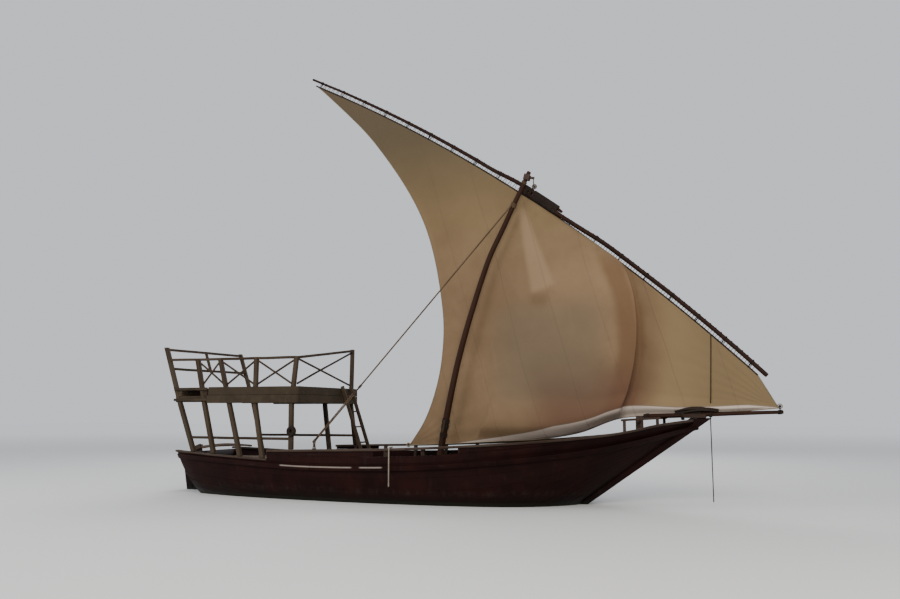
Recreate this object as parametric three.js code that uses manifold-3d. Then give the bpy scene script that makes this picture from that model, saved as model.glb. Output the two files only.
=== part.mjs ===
// A small working dhow afloat: open planked hull, stern platform on posts, raked crooked mast
// and a lateen sail on a bowed yard. Millimetres, +X to the bow, +Y to port, +Z up.
// The origin is on the centreline amidships, at the waterline.
import * as THREE from 'three';
import { mergeVertices } from 'three/addons/utils/BufferGeometryUtils.js';
import Module from 'manifold-3d';

const wasm = await Module();
wasm.setup();

// Fits between pieces
const FIT = 0.3;
const ROUND_FIT = 0.8;
const STARBOARD = -1;
const PORT = 1;

// Hull: each row is a section at x. A section runs from the keel on the centreline through the low
// and side controls of a cubic curve to the rail.
const HULL_LINES = [
  { x: -4900, keelZ: -300, lowY: 70, lowZ: -60, sideY: 760, sideZ: -60, railY: 900, railZ: 860 },
  { x: -4200, keelZ: -500, lowY: 120, lowZ: -260, sideY: 960, sideZ: -190, railY: 1090, railZ: 840 },
  { x: -3200, keelZ: -540, lowY: 280, lowZ: -470, sideY: 1130, sideZ: -330, railY: 1230, railZ: 830 },
  { x: -2000, keelZ: -550, lowY: 420, lowZ: -540, sideY: 1260, sideZ: -430, railY: 1330, railZ: 880 },
  { x: -600, keelZ: -550, lowY: 520, lowZ: -560, sideY: 1330, sideZ: -460, railY: 1390, railZ: 910 },
  { x: 800, keelZ: -550, lowY: 470, lowZ: -540, sideY: 1270, sideZ: -430, railY: 1385, railZ: 980 },
  { x: 1600, keelZ: -520, lowY: 380, lowZ: -490, sideY: 1110, sideZ: -330, railY: 1310, railZ: 1030 },
  { x: 2300, keelZ: -210, lowY: 260, lowZ: -190, sideY: 860, sideZ: -20, railY: 1170, railZ: 1080 },
  { x: 3000, keelZ: 280, lowY: 170, lowZ: 300, sideY: 560, sideZ: 470, railY: 900, railZ: 1150 },
  { x: 3800, keelZ: 840, lowY: 80, lowZ: 860, sideY: 300, sideZ: 960, railY: 560, railZ: 1300 },
  { x: 4300, keelZ: 1190, lowY: 40, lowZ: 1205, sideY: 150, sideZ: 1260, railY: 300, railZ: 1380 },
  { x: 4560, keelZ: 1372, lowY: 20, lowZ: 1378, sideY: 60, sideZ: 1390, railY: 110, railZ: 1420 },
];
const HULL_STEPS = 18;
const SECTION_STEPS = 6;
const EDGE_PITCH = 450;
const LID_Z = 2100;
const PLANK = 28;
const STRAKE = 24;
const RIB = { depth: 60, width: 55, first: -4050, last: 3520, pitch: 630, floorHeight: 200 };
const KEELSON = { low: 150, high: 260, aft: -4085, fore: 3560, width: 120, ceiling: 880 };

// Side profile of the planking's top edge and of the cap rail's top.
const SHEER = [
  { x: -4900, plank: 775, rail: 860 },
  { x: -3900, plank: 722, rail: 845 },
  { x: -3160, plank: 686, rail: 842 },
  { x: -1920, plank: 642, rail: 868 },
  { x: -600, plank: 652, rail: 900 },
  { x: 400, plank: 690, rail: 940 },
  { x: 1200, plank: 750, rail: 985 },
  { x: 2100, plank: 835, rail: 1045 },
  { x: 3000, plank: 960, rail: 1130 },
  { x: 3540, plank: 1070, rail: 1210 },
  { x: 3960, plank: 1180, rail: 1310 },
  { x: 4560, plank: 1345, rail: 1400 },
];
const CAP = { thick: 40, inside: 85, outside: 25, aft: -2600, fore: 4470 };
const QUARTER_CAP = { thick: 35, aft: -4790 };
const WALE = { thick: 42, low: 115, high: 35 };
const RAIL_GAP = { starboardAft: -500, portAft: -1700, fore: 1000, low: 115 };

// Backbone: keel, straight raked stem and raked stern post
const BACKBONE_HALF = 55;
const KEEL = { bottom: -650, fore: 1500, aft: -4335, heelTop: -590, heelFore: -4160, above: 60 };
const STEM = { waterX: 2740, slope: 0.7, depth: 190, headZ: 1405 };
const STERN_SLOPE = 0.385;
const sternX = (z) => -4450 - STERN_SLOPE * z;
const STERN_POST = { aft: 70, fore: 50, topZ: 700 };
const TRANSOM = { thick: 40, topZ: 760 };

// Inside
const SHELF = { low: 500, high: 600, thick: 45, aft: -4150, fore: 3080 };
const THWART = { low: 560, width: 220, places: [-2950, -1350, 120, 1750] };
const DECK_BOARD = 30;
const AFT_DECK_FORE = -3350;
const FORE_DECK = { low: 900, aft: 2880, fore: 3900 };
const FLOOR = { low: -180, thick: 25, aft: -3700, fore: 1850 };
const MAST_STEP = { length: 320, width: 150, top: -190 };

// Spars
const MAST_LINE = [[-22, -190], [80, 450], [189, 1081], [389, 2060], [575, 2763], [797, 3466],
  [1049, 4168], [1394, 4863], [1651, 5382], [1815, 5698]];
const MAST_RADII = { foot: 60, head: 38 };
const BOWSPRIT = { heelX: 3680, heelZ: 1425, endX: 5810, endZ: 1500, heelRadius: 42, endRadius: 27 };
const YARD = { heelX: 5600, heelY: 40, heelZ: 2060, peakX: -2720, peakY: 240, peakZ: 8110, sag: 415 };
const YARD_LOWER = { to: 0.498, heelRadius: 36, endRadius: 40, joinedFrom: 0.33, joinedAt: 0.405 };
const YARD_UPPER = { from: 0.42, endRadius: 40, peakRadius: 22, joinedTo: 0.505, fairedAt: 0.58 };
const YARD_SPREAD = 41;
const YARD_LASHINGS = [0.435, 0.46];
const SLING_AT = 0.488;
const WRAP = { radius: 48, half: 24 };

// Sail
const SAIL = { half: 4, headDrop: 94, headFrom: 0.012, headTo: 0.985 };
const SAIL_COLUMNS = [0, 0.1, 0.2, 0.3, 0.365, 0.4, 0.44, 0.5, 0.56, 0.62, 0.68, 0.74, 0.8, 0.86, 0.93, 1];
const SAIL_ROWS = [0, 0.05, 0.12, 0.2, 0.3, 0.4, 0.5, 0.6, 0.7, 0.8, 0.88, 0.93, 0.965, 1];
const FOLD_COLUMN = 0.4;
const FOLD = { x: 3450, z: 2850, bow: 0.00012 };
const BELLY = { depth: 470, overhang: 210, least: 1300, foldWidth: 0.09, footRoll: 75 };
const TACK = [5740, 3, 1561];
const LEECH = [[-2610, 8010], [-1220, 6500], [-280, 4950], [80, 3340], [80, 2610], [-30, 1980],
  [-260, 1360], [-560, 905]];
const LEECH_Y = 250;
const FOOT = [TACK, [4870, 90, 1485], [4280, 110, 1450], [3300, 95, 1400], [2610, 95, 1160],
  [1920, 105, 1045], [1200, 115, 1000], [470, 135, 955], [-560, 250, 905]];
const TOGGLE = { radius: 30, grommet: 9, reach: 52 };
const TACK_BALL = [5760, 0, 1588];

// Platform: each post has its foot on the rail, a knee at the floor and a top
const FLOOR_Z = 1930;
const PLATFORM = { aft: -4700, fore: -2110, board: 28 };
const POST = 76;
const STARBOARD_POSTS = [
  { foot: -4330, knee: -4620, top: -4980, topZ: 2700 },
  { foot: -3835, knee: -4085, top: -4270, topZ: 2480 },
  { foot: -3235, knee: -3550, top: -3780, topZ: 2480 },
  { foot: -2740, knee: -3005, top: -3000, topZ: 2480 },
  { foot: -2125, knee: -2260, top: -2170, topZ: 2480 },
];
const PORT_POSTS = [
  { foot: -4190, knee: -4440, top: -4800, topZ: 2700 },
  { foot: -2740, knee: -2770, top: -2770, topZ: 1790 },
  { foot: -2170, knee: -2190, top: -2170, topZ: 2730 },
];
const KNEE_Z = 1650;
const SIDE_RAIL_Z = 1040;
const FASCIA = { low: 1660, high: 1950, thick: 26, aft: -4000 };

// Rudder, in its own frame: +Z up the raked axis, +X forward
const RUDDER_AXIS_X = -4450 - 115;
const RUDDER_RAKE = Math.atan(STERN_SLOPE);
const RUDDER_BLADE = [[-34, -640], [-34, 960], [-150, 960], [-165, 790], [-515, 700], [-602, 232],
  [-620, -140], [-540, -470]];
const BLADE_HALF = 24;
const PINTLE = { radius: 14, places: [-420, 90, 560], eye: 30 };
const TILLER = { length: 1250, z: 905, rise: 60 };

// Ropes
const STAY = { foot: [-1650, -1300, 1010], radius: 8 };
const SIDE_ROPE_RADIUS = 11;
const SIDE_ROPE = [[-196, -1298, 929], [-196, -1330, 928.5], [-196, -1370, 928.5], [-196, -1404, 930],
  [-196, -1425, 926], [-196, -1434, 905], [-196, -1436, 860], [-196, -1436, 760], [-196, -1436, 640],
  [-196, -1436, 520], [-196, -1435, 400], [-196, -1434, 300]];
const BOW_LINE_RADIUS = 8;
const BOW_LINE_HITCH = { x: 4730, length: 44, radius: 44 };
const BOW_LINE = [[4730, -44.3, 1462], [4730, -52, 1461.4], [4730, -60, 1457], [4730, -66, 1447],
  [4730, -68, 1434], [4730, -68, 1400], [4730, -68.5, 1300], [4731, -69, 1100], [4731, -70, 900],
  [4731, -70, 700], [4732, -70, 500], [4732, -70, 300], [4732, -70, 110]];

const material = (color, roughness, metalness = 0) => (
  new THREE.MeshStandardMaterial({ color, roughness, metalness })
);
const hullPaint = material(0x2a1512, 0.7);
const bareTimber = material(0x4a3322, 0.8);
const platformTimber = material(0x3a281c, 0.85);
const fasciaPaint = material(0x3c4248, 0.7);
const sparWood = material(0x3d2417, 0.6);
const canvas = material(0x8d7a5e, 0.9);
const ropeFibre = material(0x8a7a5c, 0.95);
const iron = material(0x35302c, 0.6, 0.7);

const dhow = new THREE.Group();

const at = (x, y, z) => new THREE.Vector3(x, y, z);

// Value of a table's column at x, on a smooth curve through its rows.
function along(table, column, x) {
  let i = 0;
  while (i < table.length - 2 && x > table[i + 1].x) i += 1;
  const before = table[Math.max(i - 1, 0)];
  const [from, to] = [table[i], table[i + 1]];
  const after = table[Math.min(i + 2, table.length - 1)];
  const span = to.x - from.x;
  const t = (x - from.x) / span;
  const slopeIn = ((to[column] - before[column]) / (to.x - before.x)) * span;
  const slopeOut = ((after[column] - from[column]) / (after.x - from.x)) * span;
  return (2 * t ** 3 - 3 * t ** 2 + 1) * from[column] + (t ** 3 - 2 * t ** 2 + t) * slopeIn
    + (3 * t ** 2 - 2 * t ** 3) * to[column] + (t ** 3 - t ** 2) * slopeOut;
}

// Closed geometry as a solid that can be cut and joined, and back.
function solid(geometry) {
  const loose = geometry.index ? geometry.toNonIndexed() : geometry;
  const rounded = loose.getAttribute('position').clone();
  rounded.array.forEach((value, i) => { rounded.array[i] = Math.round(value * 1000) / 1000; });
  const merged = mergeVertices(new THREE.BufferGeometry().setAttribute('position', rounded), 1e-4);
  return new wasm.Manifold(new wasm.Mesh({
    numProp: 3,
    vertProperties: merged.getAttribute('position').array,
    triVerts: new Uint32Array(merged.index.array),
  }));
}

function geometryOf(body) {
  const mesh = body.getMesh();
  const geometry = new THREE.BufferGeometry();
  geometry.setAttribute('position', new THREE.BufferAttribute(mesh.vertProperties, mesh.numProp));
  geometry.setIndex(new THREE.BufferAttribute(mesh.triVerts, 1));
  geometry.computeVertexNormals();
  return geometry;
}

function piece(name, body, finish) {
  const mesh = new THREE.Mesh(geometryOf(body), finish);
  mesh.name = name;
  dhow.add(mesh);
}

const join = (bodies) => bodies.reduce((all, body) => all.add(body));

// A box of nx by ny by nz cells whose corners are placed by shape(u, v, w), each from 0 to 1.
function warpedBox(nx, ny, nz, shape) {
  const box = new THREE.BoxGeometry(1, 1, 1, nx, ny, nz);
  const corners = box.getAttribute('position');
  for (let i = 0; i < corners.count; i += 1) {
    const u = Math.round((corners.getX(i) + 0.5) * nx) / nx;
    const v = Math.round((corners.getY(i) + 0.5) * ny) / ny;
    const w = Math.round((corners.getZ(i) + 0.5) * nz) / nz;
    const p = shape(u, v, w);
    corners.setXYZ(i, p.x, p.y, p.z);
  }
  return solid(box);
}

// A block between two opposite corners.
function block(x0, x1, y0, y1, z0, z1) {
  const box = new THREE.BoxGeometry(x1 - x0, y1 - y0, z1 - z0);
  return solid(box.translate((x0 + x1) / 2, (y0 + y1) / 2, (z0 + z1) / 2));
}

// A side profile of [x, z] points, extruded across the boat from y0 to y1.
function profile(points, y0 = -2000, y1 = 2000) {
  const shape = new THREE.Shape(points.map(([x, z]) => new THREE.Vector2(x, z)));
  const slab = new THREE.ExtrudeGeometry(shape, { depth: y1 - y0, bevelEnabled: false });
  return solid(slab.rotateX(Math.PI / 2).translate(0, y1, 0));
}

// A profile between two height functions from one x to another.
function band(aft, fore, low, high, y0, y1) {
  const places = [aft];
  for (let x = Math.ceil((aft + 1) / EDGE_PITCH) * EDGE_PITCH; x < fore - 1; x += EDGE_PITCH) places.push(x);
  places.push(fore);
  const bottom = places.map((x) => [x, low(x)]);
  const top = places.map((x) => [x, high(x)]).reverse();
  return profile([...bottom, ...top], y0, y1);
}

// A squared timber from one point to another, wide across and deep in its own plane.
function timber(from, to, wide, deep, across = at(0, 1, 0)) {
  const run = to.clone().sub(from);
  const box = new THREE.BoxGeometry(wide, deep, run.length());
  const axis = run.clone().normalize();
  const face = new THREE.Vector3().crossVectors(axis, across).normalize();
  const side = new THREE.Vector3().crossVectors(face, axis);
  const turn = new THREE.Matrix4().makeBasis(side, face, axis);
  const centre = from.clone().add(to).multiplyScalar(0.5);
  return solid(box.applyMatrix4(turn).translate(centre.x, centre.y, centre.z));
}

// A round spar or rope along a curve, with its radius from a function of the length's share.
function spar(curve, radius, sides, steps, across = at(0, 1, 0)) {
  const tube = new THREE.CylinderGeometry(1, 1, 1, sides, steps);
  const corners = tube.getAttribute('position');
  for (let i = 0; i < corners.count; i += 1) {
    const t = Math.round((corners.getY(i) + 0.5) * steps) / steps;
    const axis = curve.getTangentAt(t);
    const depth = new THREE.Vector3().crossVectors(across, axis).normalize();
    const width = new THREE.Vector3().crossVectors(axis, depth);
    const reach = radius(t);
    const p = curve.getPointAt(t)
      .addScaledVector(width, corners.getX(i) * reach)
      .addScaledVector(depth, corners.getZ(i) * reach);
    corners.setXYZ(i, p.x, p.y, p.z);
  }
  return solid(tube);
}

const straight = (from, to) => new THREE.LineCurve3(from, to);

// A short round bar between two points.
const rod = (from, to, radius, sides = 10) => (
  spar(straight(from, to), () => radius, sides, 1, Math.abs(to.y - from.y) > 1 ? at(1, 0, 0.01) : at(0, 1, 0))
);

// A ring round an axis at a centre, with the bore and the rope's radius.
function ring(centre, axis, bore, rope, steps = 16) {
  const section = [];
  const sides = 6;
  for (let i = 0; i <= sides; i += 1) {
    const turn = (2 * Math.PI * i) / sides;
    section.push(new THREE.Vector2(bore + rope + rope * Math.cos(turn), rope * Math.sin(turn)));
  }
  const lathe = new THREE.LatheGeometry(section, steps);
  const turn = new THREE.Quaternion().setFromUnitVectors(at(0, 1, 0), axis.clone().normalize());
  return solid(lathe.applyQuaternion(turn).translate(centre.x, centre.y, centre.z));
}

function ball(centre, radius) {
  return solid(new THREE.SphereGeometry(radius, 10, 6).translate(centre.x, centre.y, centre.z));
}

// A collar round a spar, seated on it.
function collar(curve, t, radius, height, grown) {
  const centre = curve.getPointAt(t);
  const half = curve.getTangentAt(t).multiplyScalar(height / 2);
  return rod(centre.clone().sub(half), centre.clone().add(half), radius, 12).subtract(grown);
}

// Point of the hull's surface at x: share 0 is the keel and 1 the rail. A positive inset moves it in.
function hullPoint(x, share, inset) {
  const row = (column) => along(HULL_LINES, column, x);
  const section = new THREE.CubicBezierCurve(
    new THREE.Vector2(0, row('keelZ')),
    new THREE.Vector2(row('lowY'), row('lowZ')),
    new THREE.Vector2(row('sideY'), row('sideZ')),
    new THREE.Vector2(row('railY'), row('railZ')),
  );
  const p = section.getPoint(share);
  const tangent = section.getTangent(share);
  const y = Math.max(p.x - inset * tangent.y, 4 * share);
  return { y, z: p.y + inset * tangent.x };
}

// The space inside the hull's surface, set in by inset, up to a flat lid.
function hullSpace(inset) {
  const [aft, fore] = [HULL_LINES[0].x, HULL_LINES[HULL_LINES.length - 1].x];
  return warpedBox(HULL_STEPS, 2 * SECTION_STEPS, 1, (u, v, w) => {
    const x = aft + (fore - aft) * u;
    const { y, z } = hullPoint(x, Math.abs(2 * v - 1), inset);
    return at(x, Math.sign(v - 0.5) * y, w > 0.5 ? LID_Z : z);
  });
}

// Edge lines run straight between places that all pieces share.
const edge = (table, column) => (x) => {
  const from = Math.floor(x / EDGE_PITCH) * EDGE_PITCH;
  const share = (x - from) / EDGE_PITCH;
  return along(table, column, from) * (1 - share) + along(table, column, from + EDGE_PITCH) * share;
};
const sheer = edge(SHEER, 'plank');
const railTop = edge(SHEER, 'rail');
const keelLine = edge(HULL_LINES, 'keelZ');

// Backbone profiles
function keelProfile(grow) {
  const top = [];
  for (let x = KEEL.heelFore; x < KEEL.fore; x += 700) top.push([x - grow, keelLine(x) + KEEL.above + grow]);
  top.push([KEEL.fore + grow, keelLine(KEEL.fore) + KEEL.above + grow]);
  return [
    [KEEL.fore + grow, KEEL.bottom - grow], ...top.reverse(),
    [KEEL.heelFore - grow, KEEL.heelTop + grow], [KEEL.aft - grow, KEEL.heelTop + grow],
    [KEEL.aft - grow, KEEL.bottom - grow],
  ];
}

const stemLineZ = (x, inside) => (
  STEM.slope * (x - STEM.waterX) + inside * Math.hypot(1, STEM.slope)
);

function stemProfile(grow) {
  const outer = new THREE.QuadraticBezierCurve(
    new THREE.Vector2(KEEL.fore, KEEL.bottom),
    new THREE.Vector2(STEM.waterX + KEEL.bottom / STEM.slope, KEEL.bottom),
    new THREE.Vector2(2150, stemLineZ(2150, 0)),
  ).getPoints(5).map((p) => [p.x, p.y - grow]);
  const innerFoot = keelLine(KEEL.fore) + KEEL.above;
  const inner = new THREE.QuadraticBezierCurve(
    new THREE.Vector2(KEEL.fore, innerFoot),
    new THREE.Vector2(KEEL.fore + 190, innerFoot),
    new THREE.Vector2(2150, stemLineZ(2150, STEM.depth)),
  ).getPoints(5).map((p) => [p.x, p.y + grow]);
  const innerHeadX = STEM.waterX + (STEM.headZ - STEM.depth * Math.hypot(1, STEM.slope)) / STEM.slope;
  return [
    ...outer, [STEM.waterX + STEM.headZ / STEM.slope + 3 * grow, STEM.headZ + grow],
    [innerHeadX - grow, STEM.headZ + grow], ...inner.reverse(),
  ];
}

function sternPostProfile(grow) {
  const foot = KEEL.heelTop + FIT;
  return [
    [sternX(foot) - STERN_POST.aft - grow, foot - grow], [sternX(foot) + STERN_POST.fore + grow, foot - grow],
    [sternX(STERN_POST.topZ) + STERN_POST.fore + grow, STERN_POST.topZ + grow],
    [sternX(STERN_POST.topZ) - STERN_POST.aft - grow, STERN_POST.topZ + grow],
  ];
}

const reach = BACKBONE_HALF;
piece('keel', profile(keelProfile(0), -reach, reach), hullPaint);
const stemPost = profile(stemProfile(0), -reach, reach).subtract(profile(keelProfile(FIT)));
piece('stem_post', stemPost, hullPaint);
const grownReach = reach + FIT;
const backbone = join([
  profile(keelProfile(FIT), -grownReach, grownReach),
  profile(stemProfile(FIT), -grownReach, grownReach),
  profile(sternPostProfile(FIT), -grownReach, grownReach),
]);

// Everything forward of the raked stern line, set off from it by an amount.
const foreOfStern = (off) => profile([
  [sternX(-1200) + off, -1200], [5200, -1200], [5200, LID_Z], [sternX(LID_Z) + off, LID_Z],
]);
const spaces = {
  outside: hullSpace(0),
  plankInside: hullSpace(PLANK),
  ribOutside: hullSpace(PLANK + FIT),
  ribInside: hullSpace(PLANK + FIT + RIB.depth),
  shelfOutside: hullSpace(PLANK + FIT + RIB.depth + FIT),
};
const foreAll = HULL_LINES[HULL_LINES.length - 1].x - 10;
const aftAll = -4850;

// One side of a skin: between two spaces, inside a band, clear of the backbone.
function skin(side, outer, inner, within, aftOff = 0) {
  const half = side === PORT ? block(-5200, 5200, 0, 1700, -900, LID_Z)
    : block(-5200, 5200, -1700, 0, -900, LID_Z);
  return outer.subtract(inner).intersect(within).intersect(half).intersect(foreOfStern(aftOff))
    .subtract(backbone);
}

const belowSheer = band(aftAll, foreAll, () => -900, sheer);
const waleBand = band(aftAll, foreAll, (x) => sheer(x) - WALE.low, (x) => sheer(x) - WALE.high);
const strakeBand = band(CAP.aft, CAP.fore, (x) => sheer(x) + FIT, (x) => railTop(x) - CAP.thick - FIT);
const capBand = band(CAP.aft, CAP.fore, (x) => railTop(x) - CAP.thick, railTop);
const quarterBand = band(QUARTER_CAP.aft, CAP.aft - FIT, (x) => sheer(x) + FIT,
  (x) => sheer(x) + QUARTER_CAP.thick);
const capOutside = hullSpace(-CAP.outside);
const capInside = hullSpace(CAP.inside);
const caps = {};
for (const [side, name] of [[STARBOARD, 'starboard'], [PORT, 'port']]) {
  piece(`planking_${name}`, skin(side, spaces.outside, spaces.plankInside, belowSheer), hullPaint);
  piece(`wale_${name}`, skin(side, hullSpace(-WALE.thick), hullSpace(-FIT), waleBand), hullPaint);
  const gapAft = side === PORT ? RAIL_GAP.portAft : RAIL_GAP.starboardAft;
  const gap = band(gapAft, RAIL_GAP.fore, (x) => sheer(x) + RAIL_GAP.low, () => LID_Z);
  const strake = skin(side, spaces.outside, hullSpace(STRAKE), strakeBand).subtract(gap);
  piece(`wash_strake_${name}`, strake, hullPaint);
  caps[side] = skin(side, capOutside, capInside, capBand);
  piece(`cap_rail_${name}`, caps[side], bareTimber);
  piece(`quarter_cap_${name}`, skin(side, capOutside, capInside, quarterBand, -25), bareTimber);
}

// Stern post and transom
piece('stern_post', profile(sternPostProfile(0), -reach, reach), hullPaint);
const transomSlab = profile([
  [sternX(-900), -900], [sternX(-900) + TRANSOM.thick, -900],
  [sternX(TRANSOM.topZ) + TRANSOM.thick, TRANSOM.topZ], [sternX(TRANSOM.topZ), TRANSOM.topZ],
]);
piece('transom', transomSlab.intersect(spaces.ribOutside).subtract(backbone), hullPaint);

// Ribs with their floor timbers, joined by the keelson
const ribTop = band(aftAll, CAP.aft - FIT, () => -900, sheer)
  .add(band(CAP.aft - 2 * FIT, foreAll, () => -900, (x) => railTop(x) - CAP.thick - FIT));
const ribRing = spaces.ribOutside.subtract(spaces.ribInside).intersect(ribTop);
const ribs = [];
for (let x = RIB.first; x <= RIB.last; x += RIB.pitch) {
  const [aft, fore] = [x - RIB.width / 2, x + RIB.width / 2];
  const floorTop = keelLine(x) + RIB.floorHeight;
  ribs.push(ribRing.intersect(block(aft, fore, -1700, 1700, -900, LID_Z)));
  ribs.push(spaces.ribOutside.intersect(block(aft, fore, -1700, 1700, -900, floorTop)));
}
const keelson = band(KEELSON.aft, KEELSON.fore, (x) => keelLine(x) + KEELSON.low,
  (x) => keelLine(x) + KEELSON.high, -KEELSON.width / 2, KEELSON.width / 2)
  .subtract(block(3000, 4000, -500, 500, KEELSON.ceiling, LID_Z));
piece('ribs_and_keelson', join([...ribs, keelson]).subtract(backbone), bareTimber);

// Mast
const mastCurve = new THREE.CatmullRomCurve3(MAST_LINE.map(([x, z]) => at(x, 0, z)));
const mastRadius = (t) => MAST_RADII.foot + (MAST_RADII.head - MAST_RADII.foot) * t ** 1.3;
const mast = (grow) => spar(mastCurve, (t) => mastRadius(t) + grow, 12, 16);
const mastHole = mast(6).add(mast(6).translate([0, 0, -60]));
const mastMortise = mast(ROUND_FIT).add(mast(ROUND_FIT).translate([0, 0, -FIT]));
piece('mast', mast(0), sparWood);
const mastX = (z) => {
  let i = 0;
  while (i < MAST_LINE.length - 2 && z > MAST_LINE[i + 1][1]) i += 1;
  const [from, to] = [MAST_LINE[i], MAST_LINE[i + 1]];
  return from[0] + ((to[0] - from[0]) * (z - from[1])) / (to[1] - from[1]);
};

// Shelf and thwarts, decks, floor boards and mast step
const shelfInside = hullSpace(PLANK + 2 * FIT + RIB.depth + SHELF.thick);
const shelf = spaces.shelfOutside.subtract(shelfInside)
  .intersect(block(SHELF.aft, SHELF.fore, -1700, 1700, SHELF.low, SHELF.high));
const thwarts = THWART.places.map((x) => (
  block(x - THWART.width / 2, x + THWART.width / 2, -1700, 1700, THWART.low, SHELF.high)
));
const inside = (body) => body.intersect(spaces.shelfOutside).subtract(backbone);
piece('thwarts', inside(join([shelf, ...thwarts])).subtract(mastHole), bareTimber);
const aftDeck = block(-4900, AFT_DECK_FORE, -1700, 1700, SHELF.high + FIT, SHELF.high + FIT + DECK_BOARD)
  .intersect(foreOfStern(TRANSOM.thick + FIT));
piece('aft_deck', inside(aftDeck), bareTimber);
const foreDeck = block(FORE_DECK.aft, FORE_DECK.fore, -1700, 1700, FORE_DECK.low, FORE_DECK.low + DECK_BOARD);
piece('fore_deck', inside(foreDeck), bareTimber);
const floorBoards = block(FLOOR.aft, FLOOR.fore, -1700, 1700, FLOOR.low, FLOOR.low + FLOOR.thick);
piece('floor_boards', inside(floorBoards.subtract(keelson).subtract(mastHole)), bareTimber);
const stepMiddle = MAST_LINE[0][0];
const mastStep = block(stepMiddle - MAST_STEP.length / 2, stepMiddle + MAST_STEP.length / 2,
  -MAST_STEP.width / 2, MAST_STEP.width / 2, keelLine(0) + KEELSON.high - 20, MAST_STEP.top + 8);
piece('mast_step', mastStep.subtract(keelson.translate([0, 0, FIT])).subtract(mastMortise), bareTimber);

// Bow: rails on short posts, bitt, bowsprit with its chock and the tack toggle
for (const [side, name] of [[STARBOARD, 'starboard'], [PORT, 'port']]) {
  const parts = [];
  const railFrom = at(3430, side * 640, 1372);
  const railTo = at(4000, side * 385, 1405);
  parts.push(timber(railFrom, railTo, 42, 34, at(0.4 * side, 1, 0)));
  for (const share of [0.08, 0.92]) {
    const head = railFrom.clone().lerp(railTo, share);
    parts.push(timber(at(head.x, head.y, railTop(head.x) - 12), head, 44, 44));
  }
  piece(`bow_rail_${name}`, join(parts).subtract(caps[side].translate([0, 0, FIT])), bareTimber);
}
const deckTop = FORE_DECK.low + DECK_BOARD + FIT;
const bitt = block(3560, 3670, -45, 45, deckTop, 1440)
  .add(block(3590, 3640, -210, 210, 1330, 1385));
piece('bitt', bitt, bareTimber);
const chock = block(4300, 4660, -80, 80, STEM.headZ + FIT, 1470);
const spritCurve = straight(at(BOWSPRIT.heelX, 0, BOWSPRIT.heelZ), at(BOWSPRIT.endX, 0, BOWSPRIT.endZ));
const spritRadius = (t) => BOWSPRIT.heelRadius + (BOWSPRIT.endRadius - BOWSPRIT.heelRadius) * t;
const sprit = (grow) => spar(spritCurve, (t) => spritRadius(t) + grow, 12, 4);
const hitch = spritCurve.getPoint((BOW_LINE_HITCH.x - BOWSPRIT.heelX) / (BOWSPRIT.endX - BOWSPRIT.heelX));
const hitchHalf = at(BOW_LINE_HITCH.length / 2, 0, 0);
const tackBall = at(...TACK_BALL);
const tackHook = tackBall.clone().add(at(0, -TOGGLE.reach, 0));
piece('bowsprit', join([
  sprit(0), rod(at(5742, 0, 1497), at(5778, 0, 1499), 40, 12),
  rod(hitch.clone().sub(hitchHalf), hitch.clone().add(hitchHalf), BOW_LINE_HITCH.radius, 12),
  rod(at(tackHook.x, tackHook.y + 16, 1500), tackHook, 9, 8), ball(tackHook, 10), rod(tackHook, tackBall, 9, 8),
  ball(tackBall, TOGGLE.radius - 6),
]), sparWood);
piece('bowsprit_chock', chock.subtract(sprit(ROUND_FIT)), bareTimber);

// Yard: two spars lashed one over the other under the masthead
const yardRise = at(6050, 0, 8320).normalize();
function yardCentre(t, lift = 0) {
  const heel = at(YARD.heelX, YARD.heelY, YARD.heelZ);
  const peak = at(YARD.peakX, YARD.peakY, YARD.peakZ);
  return heel.lerp(peak, t).addScaledVector(yardRise, 4 * YARD.sag * t * (1 - t) + lift);
}
const smooth = (t) => {
  const s = Math.min(Math.max(t, 0), 1);
  return s * s * (3 - 2 * s);
};
const yardPath = (from, to, lift, count) => new THREE.CatmullRomCurve3(
  Array.from({ length: count + 1 }, (_, i) => {
    const t = from + ((to - from) * i) / count;
    return yardCentre(t, lift(t));
  }),
);
const lowerLift = (t) => -YARD_SPREAD
  * smooth((t - YARD_LOWER.joinedFrom) / (YARD_LOWER.joinedAt - YARD_LOWER.joinedFrom));
const upperLift = (t) => YARD_SPREAD
  * (1 - smooth((t - YARD_UPPER.joinedTo) / (YARD_UPPER.fairedAt - YARD_UPPER.joinedTo)));
const lowerCurve = yardPath(0, YARD_LOWER.to, lowerLift, 12);
const upperCurve = yardPath(YARD_UPPER.from, 1, upperLift, 14);
const lowerRadius = (t) => YARD_LOWER.heelRadius
  + (YARD_LOWER.endRadius - YARD_LOWER.heelRadius) * Math.sin(Math.PI * 0.62 * t);
const upperRadius = (t) => YARD_UPPER.endRadius + (YARD_UPPER.peakRadius - YARD_UPPER.endRadius) * t ** 1.2;
const lower = (grow) => spar(lowerCurve, (t) => lowerRadius(t) + grow, 10, 10);
const upper = (grow) => spar(upperCurve, (t) => upperRadius(t) + grow, 10, 16);
const yardRun = (t) => yardCentre(t + 0.01).sub(yardCentre(t - 0.01)).normalize();

// A lashing round one place of the yard, as a band through both spars' centres.
function lashing(t, lifts, half, radius) {
  const run = yardRun(t).multiplyScalar(half);
  const ends = lifts.map((lift) => yardCentre(t, lift));
  const rounds = ends.map((c) => rod(c.clone().sub(run), c.clone().add(run), radius, 10));
  const middle = yardCentre(t, (lifts[0] + lifts[1]) / 2);
  const web = timber(middle.clone().sub(run), middle.clone().add(run), 1.93 * radius, lifts[1] - lifts[0]);
  return join([...rounds, web]);
}

// Each lashing of the joint wraps both spars and is part of the lower one.
const lashings = YARD_LASHINGS.map((t) => (
  lashing(t, [lowerLift(t), upperLift(t)], WRAP.half, WRAP.radius).subtract(upper(ROUND_FIT))
));

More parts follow.
